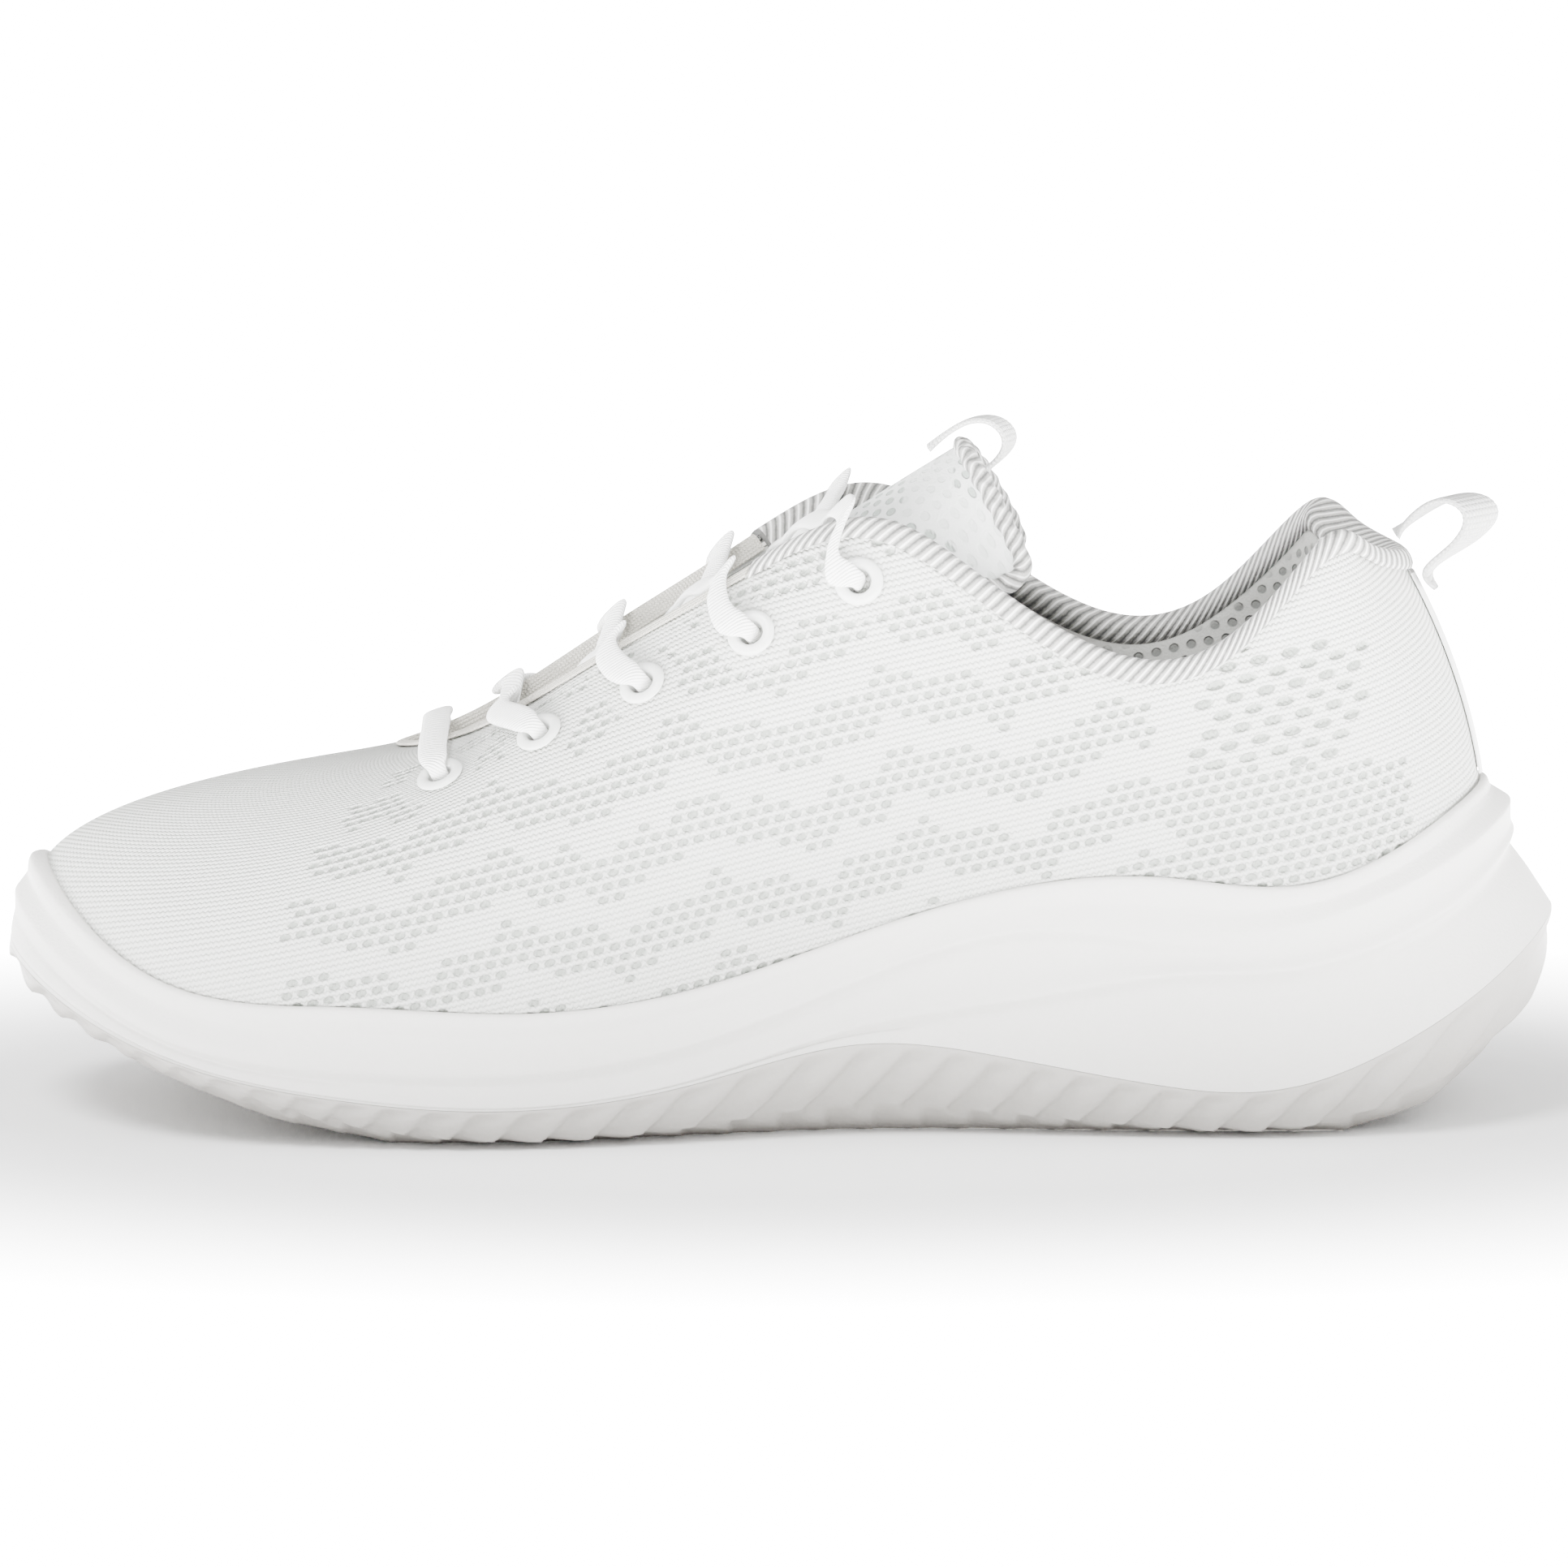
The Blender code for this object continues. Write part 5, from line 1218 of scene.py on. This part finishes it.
def tongue_back(a, v):
    """Depth of the tongue's back below its face: two cloths and foam that thins out at the free edges."""
    inside = smooth_step(0.25, 0.6, 1 - np.abs(v)) * smooth_step(0.035, 0.14, 1 - np.asarray(a, float))
    inside = inside * smooth_step(-0.05, 0.5, a)
    return 2 * TONGUE_SKIN + 0.0014 + TONGUE_PADDING * inside


def build_tongue():
    """Tongue of two mesh cloths over foam, with zigzag bands of open mesh."""
    a = np.linspace(0, 1, 260)[:, None]
    v = np.linspace(-1, 1, 90)[None, :]
    face = tongue_at(a, v)
    normal = tongue_out(a, v)
    inner = face - normal * tongue_back(a, v)[:, :, None]
    length = run_length(face[:, 45])
    width = np.linalg.norm(face[:, -1] - face[:, 0], axis=1)[:, None]
    x, y = length[:, None] + 0 * v, width / 2 * v
    bands = (np.floor(x / BAND_PITCH + 0.6 * saw(y / 0.021)) % 2).astype(float)
    masks = {"open_mesh": 1 - 0.75 * bands}
    uv = np.stack([x, y], -1)
    piece = sheet_solid("tongue_pad", face, inner, uv, TONGUE_LOOK, body="tongue", masks=masks)
    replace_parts(piece, "tongue_mesh", "tongue_foam", "tongue_lining")


def build_tongue_binding():
    """Rolled tape round the tongue's free edge: an oval section whose bumps twist along it like a rope."""
    corner = np.linspace(0, math.pi / 2, 9)[1:-1]
    round_a, round_v = 0.022, 0.13
    wing = np.linspace(0.81, 1 - round_a, 40)
    left = [(x, -1) for x in wing]
    left += [(1 - round_a + round_a * math.sin(t), -1 + round_v - round_v * math.cos(t)) for t in corner]
    top = [(1.0, x) for x in np.linspace(-1 + round_v, 1 - round_v, 90)]
    route = np.array(left + top + [(x, -y) for x, y in reversed(left)])
    face = tongue_at(route[:, 0], route[:, 1])
    normal = tongue_out(route[:, 0], route[:, 1])
    depth = tongue_back(route[:, 0], route[:, 1])[:, None]
    centre = face - normal * depth / 2
    ahead = unit(np.gradient(centre, axis=0))
    side = unit(np.cross(normal, ahead))
    length = run_length(centre)[:, None]
    turn = full_turn(24)[None, :]
    swell = 1 + 0.10 * np.sin(2 * turn + length * 2 * math.pi / ROPE_PITCH)
    x = (ROPE_HALF_WIDTH * np.cos(turn) * swell)[:, :, None]
    y = (ROPE_HALF_DEPTH * np.sin(turn) * swell)[:, :, None]
    rings = centre[:, None] + side[:, None] * x + normal[:, None] * y
    piece = sweep("tongue_rope_edge", rings, BINDING_LOOK, body="tongue")
    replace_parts(piece, "tongue_binding")


# ---- webbing loops ----
def through(points, count):
    """Smooth curve through unevenly spaced rows: cubic pieces on the square root of the chord lengths."""
    p = np.asarray(points, float)
    chord = np.linalg.norm(np.diff(p[:, :3], axis=0), axis=1)
    knots = np.concatenate([[0], np.cumsum(np.sqrt(chord))])
    slope = np.gradient(p, knots, axis=0)
    t = np.linspace(0, knots[-1], count)
    k = np.clip(np.searchsorted(knots, t) - 1, 0, len(p) - 2)
    h = (knots[k + 1] - knots[k])[:, None]
    f = (t - knots[k])[:, None] / h
    return cubic(f, p[k], p[k + 1], h * slope[k], h * slope[k + 1])


def flat_oval(sides, power):
    """Outline of a superellipse with unit half sizes."""
    turn = full_turn(sides)
    c, s = np.cos(turn), np.sin(turn)
    return np.sign(c) * np.abs(c)**(2 / power), np.sign(s) * np.abs(s)**(2 / power)


def build_webbing(name, route, width, thick, look, body, node, yaw=0.0):
    """Webbing along a route with a fine serrated selvedge; its free part is turned by yaw degrees."""
    share = np.linspace(0, 1, 120)
    centre = open_spline(route, share)
    ahead = unit(np.gradient(centre, axis=0))
    turn = np.radians(yaw) * np.sin(math.pi * share)
    across = np.stack([np.sin(turn), np.cos(turn), 0 * turn], 1)
    out = unit(np.cross(ahead, across))
    x, y = flat_oval(28, 5)
    length = run_length(centre)
    selvedge = 1 - 0.03 * saw(length / 0.0011)
    rings = centre[:, None] + across[:, None] * (x[None, :] * selvedge[:, None] * width / 2)[:, :, None]
    rings = rings + out[:, None] * (y * thick / 2)[None, :, None]
    piece = sweep(name, rings, look, body=body)
    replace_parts(piece, node)


def build_tongue_loop():
    """Loop of webbing folded over the top of the tongue and sewn to both faces."""
    top = tongue_at(1.0, 0.0)
    normal = tongue_out(1.0, 0.0)
    ahead = unit(top - tongue_at(0.98, 0.0))
    stand = 0.0025
    depth = float(tongue_back(1.0, 0.0))
    route = [
        top - ahead * 0.0055 + normal * stand, top - ahead * 0.001 + normal * (stand + 0.0006),
        top + ahead * 0.0040 + normal * (stand + 0.0003), top + ahead * 0.0078 + normal * 0.0005,
        top + ahead * 0.0088 - normal * 0.0030, top + ahead * 0.0070 - normal * (depth + 0.0020),
        top + ahead * 0.0030 - normal * (depth + stand + 0.0006),
        top - ahead * 0.0020 - normal * (depth + stand + 0.0009),
    ]
    build_webbing("tongue_loop_tape", route, 0.0070, 0.0012, TONGUE_WEB_LOOK, "tongue_loop",
                  "tongue_pull_loop", yaw=22)


def build_heel_loop():
    """Loop of webbing from the collar's edge over and down to the heel stay."""
    edge = upper_at(0.0, 1.0)
    rim = float(rim_share(np.array([0.0]))[0])
    stay = [upper_at(0.0, rim + (1 - rim) * f) + upper_out(0.0, rim + (1 - rim) * f) * 0.0030
            for f in (0.806, 0.89)]
    route = [
        edge + np.array([-0.0006, 0, 0.0036]), edge + np.array([0.0022, 0, 0.0062]),
        edge + np.array([0.0075, 0, 0.0098]), edge + np.array([0.0128, 0, 0.0102]),
        edge + np.array([0.0155, 0, 0.0070]), edge + np.array([0.0122, 0, 0.0020]),
        stay[1] + np.array([0.0012, 0, 0]), stay[0],
    ]
    build_webbing("heel_loop_tape", route, 0.0120, 0.0013, HEEL_WEB_LOOK, "heel_loop",
                  "heel_pull_loop", yaw=38)


# ---- lace ----
LACE_OVER = 0.0024            # height of the lace's middle over the knit's face at an eyelet
LACE_UNDER = 0.00455          # its depth below the face where it runs under the edge
LACE_IN_HOLE = EYELET_BORE * 0.72
LACE_ROUNDS = 30              # averaging passes that round the lace's bends
OVER_EDGE = 0.00325           # height of the lace's middle where it runs over the throat tape
# Height of a crossing strand above the tongue along its way: share of the way, lower and upper (mm).
LIFTS = [
    (0.15, 0.2, 0.2), (0.36, 0, 1.3), (0.5, 0, 1.65), (0.62, 0.3, 1.9), (0.75, 2.4, 3.2), (0.88, 4.6, 5.0),
]


def edge_station(start, end, side):
    """Station where the straight line from start to end crosses the throat edge on this side."""
    stations = np.linspace(5.9, 9.9, 161)
    stations = stations if side == INNER else STATIONS - stations
    edge = upper_at(stations, np.ones(161))
    way = end - start
    cross = (edge[:, 0] - start[0]) * way[1] - (edge[:, 1] - start[1]) * way[0]
    return float(stations[np.argmin(np.abs(cross))])


def lace_ring(centre, across, out, width=LACE_WIDTH):
    """One row of the lace's frames: centre, half width across it, and the direction of its face."""
    return np.concatenate([centre, unit(across) * width / 2, unit(out)])


def into_eyelet(side, index, coming):
    """Frames that bring the lace over the ring and down its bore, from the direction coming."""
    centre, normal, _ = EYELET_PLACES[side, index]
    travel = unit(coming - normal * np.dot(coming, normal))
    across = np.cross(normal, travel)
    return [
        lace_ring(centre + normal * LACE_OVER - travel * 0.0052, across, normal),
        lace_ring(centre + normal * LACE_OVER - travel * 0.0024, across, normal, LACE_WIDTH * 0.9),
        lace_ring(centre + normal * (LACE_OVER - 0.0002) - travel * 0.0007, across,
                  normal + travel * 0.5, LACE_IN_HOLE * 1.08),
        lace_ring(centre + normal * (LACE_OVER - 0.0012) + travel * 0.0001, across,
                  travel + normal * 0.25, LACE_IN_HOLE),
        lace_ring(centre - normal * STACK * 0.45, across, travel, LACE_IN_HOLE),
    ]


def out_of_eyelet(side, index, leaving, across_in):
    """Frames that bring the lace from the bore's lower end away under the knit."""
    centre, normal, _ = EYELET_PLACES[side, index]
    travel = unit(leaving - normal * np.dot(leaving, normal))
    across = -np.cross(normal, travel)
    return [
        lace_ring(centre - normal * STACK, unit(across + across_in), -travel, LACE_IN_HOLE),
        lace_ring(centre - normal * LACE_UNDER + travel * 0.0006, across, -travel - normal, LACE_IN_HOLE),
        lace_ring(centre - normal * LACE_UNDER + travel * 0.0030, across, -normal, LACE_WIDTH * 0.8),
    ]


NET_A, NET_V = np.meshgrid(np.linspace(0.05, 0.85, 81), np.linspace(-0.8, 0.8, 41), indexing="ij")
TONGUE_NET = tongue_at(NET_A, NET_V).reshape(-1, 3)
TONGUE_NET_OUT = tongue_out(NET_A, NET_V).reshape(-1, 3)


def above_tongue(plan, lift):
    """Point straight above a plan position, lift off the tongue's face, and the normal there."""
    away = np.linalg.norm(TONGUE_NET[:, :2] - plan, axis=1)
    weight = 1 / (away**4 + 1e-14)
    share = (weight / weight.sum())[:, None]
    normal = unit((TONGUE_NET_OUT * share).sum(0))
    ground = (TONGUE_NET * share).sum(0)
    height = ground[2] - np.dot(normal[:2] / normal[2], plan - ground[:2])
    return np.array([plan[0], plan[1], height + lift / normal[2]]), normal


def edge_rings(u, places):
    """Centre and normal at each place (outwards past the edge, above the face) beside the throat edge."""
    at = np.array([u])
    point, out, _ = (x[0] for x in edge_frame(at))
    inward = unit(point - upper_at(u, 0.97))
    return [(point + inward * along + out * height, out) for along, height in places]


def crossing(side, index, raised):
    """Frames from under one eyelet, over the tongue, to above the next eyelet on the other side."""
    start = EYELET_PLACES[side, index][0]
    end = EYELET_PLACES[-side, index + 1][0]
    travel = end - start
    leave = edge_station(start, end, side)
    arrive = edge_station(start, end, -side)
    rings = edge_rings(leave, [(-0.0010, -LACE_UNDER), (0.0018, -LACE_UNDER + 0.0002)])
    over = edge_rings(arrive, [(0.0014, OVER_EDGE - 0.0003), (-0.0028, OVER_EDGE - 0.0003)])
    for share, low, high in LIFTS:
        plan = rings[1][0][:2] * (1 - share) + over[0][0][:2] * share
        rings.append(above_tongue(plan, 0.0003 + LACE_THICK / 2 + 0.0005 + (high if raised else low) * MM))
    rings += over
    loops = []
    for centre, out in rings:
        flat_travel = travel - out * np.dot(travel, out)
        loops.append(lace_ring(centre, -np.cross(out, unit(flat_travel)), out))
    return loops


def front_bar():
    """Frames of the straight bar between the two front eyelets."""
    start = EYELET_PLACES[INNER, 0][0]
    end = EYELET_PLACES[OUTER, 0][0]
    way = end - start
    rings = []
    for side in (INNER, OUTER):
        station = edge_station(start, end, side)
        rings += edge_rings(station, [(0.0, OVER_EDGE)])
    middle = (rings[0][0] + rings[1][0]) / 2 + np.array([0, 0, 0.0012])
    rings.insert(1, (middle, unit(rings[0][1] + rings[1][1])))
    return [lace_ring(c, -np.cross(n, unit(way - n * np.dot(way, n))), n) for c, n in rings]


def half_lace(side):
    """Frames of one half of the lace, from its first eyelet on this side up to its last."""
    loops = []
    here = side
    coming = EYELET_PLACES[side, 0][0] - EYELET_PLACES[-side, 0][0]
    for index in range(len(EYELETS)):
        centre, normal, _ = EYELET_PLACES[here, index]
        loops += into_eyelet(here, index, coming)
        travel = unit(coming - normal * np.dot(coming, normal))
        across = np.cross(normal, travel)
        if index == len(EYELETS) - 1:
            loops.append(lace_ring(centre - normal * (STACK + 0.0003), across, travel, LACE_IN_HOLE))
            break
        leaving = EYELET_PLACES[-here, index + 1][0] - centre
        loops += out_of_eyelet(here, index, leaving, across)
        loops += crossing(here, index, side == (INNER if index % 2 else OUTER))
        coming = leaving
        here = -here
    return loops


def steadied(frames):
    """The same frames with the signs of their two directions chosen so that the cord never turns over."""
    frames = np.array(frames)
    ahead = np.gradient(frames[:, :3], axis=0)
    for i in range(1, len(frames)):
        if np.dot(frames[i, 3:6], frames[i - 1, 3:6]) < 0:
            frames[i, 3:6] *= -1
    hand = np.einsum("ij,ij->i", np.cross(frames[:, 3:6], frames[:, 6:9]), ahead)
    frames[:, 6:9] *= np.where(hand < 0, -1, 1)[:, None]
    return frames


def build_lace():
    """The laced part as one flat-oval cord, from the inner top end by the front bar to the outer one."""
    frames = list(reversed(half_lace(INNER))) + front_bar() + half_lace(OUTER)
    frames = through(steadied(frames), 2200)
    for _ in range(LACE_ROUNDS):
        frames[1:-1] = (frames[:-2] + 2 * frames[1:-1] + frames[2:]) / 4
    x, y = flat_oval(20, 2.6)
    half_width = frames[:, 3:6][:, None] * x[None, :, None]
    out = unit(frames[:, 6:9])[:, None] * (y * LACE_THICK / 2)[None, :, None]
    rings = frames[:, None, :3] + half_width + out
    piece = sweep("lace_crossings", rings, LACE_LOOK)
    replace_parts(piece, "lace")


LACE_END_WALL = [(5.86, 0.865), (5.84, 0.83), (5.72, 0.72), (5.52, 0.59), (5.24, 0.46), (4.88, 0.35)]
LACE_END_FLOOR = [(50, -22.5, 42), (62, -20.5, 42), (78, -19, 42.8), (94, -15.5, 43.6), (105, -10.5, 44)]
LACE_END_DIAMETER = 0.0030
LACE_END_GAP = 0.0014         # room between a free end and the lining
TIP_PROFILE = [(0.0003, 0.0012), (0.0006, 0.0015), (0.0176, 0.0015), (0.0182, 0.0011)]


def build_lace_ends():
    """Free ends: down the lining from the top eyelets, then along the edge of the footbed."""
    for side, word in ((INNER, "medial"), (OUTER, "lateral")):
        route = []
        for u, share in LACE_END_WALL:
            station = u if side == INNER else STATIONS - u
            rim = float(rim_share(np.array([station]))[0])
            inside = float(lining_face(station, (share - rim) / (1 - rim)))
            route.append(below_upper(station, share, inside + LACE_END_DIAMETER / 2 + LACE_END_GAP))
        mirror = np.array([1, -side, 1])
        route += [np.array(p) * mirror * MM + CENTRE for p in LACE_END_FLOOR]
        points = open_spline(route, np.linspace(0, 1, 120))
        curve = bpy.data.curves.new(f"lace_tail_{word}", "CURVE")
        curve.dimensions = "3D"
        curve.bevel_depth = LACE_END_DIAMETER / 2
        curve.bevel_resolution = 4
        curve.use_fill_caps = True
        spline = curve.splines.new("POLY")
        spline.points.add(len(points) - 1)
        spline.points.foreach_set("co", np.concatenate([points, np.ones((len(points), 1))], 1).ravel())
        curve.materials.append(LACE_LOOK)
        tail = bpy.data.objects.new(f"lace_tail_{word}", curve)
        bpy.context.scene.collection.objects.link(tail)
        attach(tail, "shoe")
        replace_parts(tail, f"lace_end_{word}")
        ahead = unit(points[-1] - points[-2])
        across = unit(np.cross(ahead, (0, 0, 1)))
        up = np.cross(across, ahead)
        turn = full_turn(24)
        circle = np.cos(turn)[:, None] * across + np.sin(turn)[:, None] * up
        rings = np.array([points[-1] + ahead * x + circle * r for x, r in TIP_PROFILE])
        tip = sweep(f"tip_{word}", rings, AGLET_LOOK)
        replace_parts(tip, f"aglet_{word}")


# ---- studio ----
CAMERA_LENS = 180
CAMERA_AIM = np.array([0.0006, 0.0, 0.0613])
CAMERA_LIFT = math.radians(9.5)       # how far the camera looks down
CAMERA_DISTANCE = 1.5
WORLD_LIGHT = 1.45
WORLD_SEEN = 40.0                     # brightness of the surroundings for the camera itself
LAMPS = (("key_light", (-0.5, -0.7, 1.3), 0.6, 36.0), ("fill_light", (0.9, -0.5, 1.0), 0.8, 8.0))
LAMP_AIM = (0.0, 0.0, 0.05)
FLOOR_HALF = 4.0
PAPER_CLEAR = (0.175, 0.10)           # half sizes of the oval round the shoe where the paper hardly glows


def area_light(name, place, aim, size, watts):
    """Round lamp that faces the aim."""
    light = bpy.data.lights.new(name, "AREA")
    light.shape = "DISK"
    light.size = size
    light.energy = watts
    lamp = bpy.data.objects.new(name, light)
    bpy.context.scene.collection.objects.link(lamp)
    turn_to(lamp, place, aim)


def turn_to(thing, place, aim):
    """Put a camera or light at a place and turn it to look at the aim."""
    thing.location = place
    direction = (aim - place) / np.linalg.norm(aim - place)
    pitch = math.acos(-direction[2])
    yaw = math.atan2(direction[0], direction[1])
    thing.rotation_euler = (pitch, 0, -yaw)


def paper_finish():
    """White paper that glows faintly away from the shoe, so that it fades into the white surroundings."""
    finish = Finish("studio_paper", (0.93, 0.93, 0.93), 0.9, emission_strength=30.0)
    tree = finish.tree
    squares = []
    for axis, size in zip(split_xy(tree, finish.place()), PAPER_CLEAR):
        share = math_node(tree, "ABSOLUTE", math_node(tree, "DIVIDE", axis, size))
        squares.append(math_node(tree, "POWER", share, 2.0))
    away = ramp(tree, math_node(tree, "SQRT", plus(tree, *squares)), 0.85, 2.2)
    away = math_node(tree, "POWER", away, 2.0)
    glow = finish.mix(away, (0.0, 0.0, 0.0), (1.0, 1.0, 1.0))
    tree.links.new(glow, finish.shader.inputs["Emission Color"])
    return finish.material


def white_world():
    """Soft white light all round, and a brighter white where the camera sees it directly."""
    world = bpy.data.worlds.new("studio_white")
    world.use_nodes = True
    tree = world.node_tree
    path = tree.nodes.new("ShaderNodeLightPath")
    tree.links.new(ramp(tree, path.outputs["Is Camera Ray"], 0, 1, WORLD_LIGHT, WORLD_SEEN),
                   tree.nodes["Background"].inputs["Strength"])
    tree.nodes["Background"].inputs["Color"].default_value = (1, 1, 1, 1)
    return world


def build_studio():
    """Pale floor, white surroundings and soft lights above and beside the camera."""
    scene = bpy.context.scene
    mesh = bpy.data.meshes.new("studio_floor")
    corners = [(x * FLOOR_HALF, y * FLOOR_HALF, 0) for x, y in ((-1, -1), (1, -1), (1, 1), (-1, 1))]
    mesh.from_pydata(corners, [], [(0, 1, 2, 3)])
    floor = bpy.data.objects.new("studio_floor", mesh)
    mesh.materials.append(paper_finish())
    scene.collection.objects.link(floor)
    scene.world = white_world()
    for name, place, size, watts in LAMPS:
        area_light(name, np.array(place), np.array(LAMP_AIM), size, watts)
    camera = bpy.data.objects.new("camera", bpy.data.cameras.new("camera"))
    camera.data.lens = CAMERA_LENS
    scene.collection.objects.link(camera)
    away = np.array([0, -math.cos(CAMERA_LIFT), math.sin(CAMERA_LIFT)])
    turn_to(camera, CAMERA_AIM + CAMERA_DISTANCE * away, CAMERA_AIM)
    scene.camera = camera


def finish_hidden_nodes():
    """The boards and foam inside the shoe keep the frame's own shapes."""
    names = ("strobel_board", "sockliner_foam", "toe_puff", "heel_counter", "eyestay_medial",
             "eyestay_lateral")
    for name in names:
        node = bpy.data.objects[name]
        node.data.materials.clear()
        node.data.materials.append(HIDDEN_LOOK)


build_upper()
build_midsole()
build_outsole()
build_footbed()
finish_hidden_nodes()
build_lining()
build_edges()
build_heel_stay()
build_eyelets()
build_tongue()
build_tongue_binding()
build_tongue_loop()
build_heel_loop()
build_lace()
build_lace_ends()
build_studio()
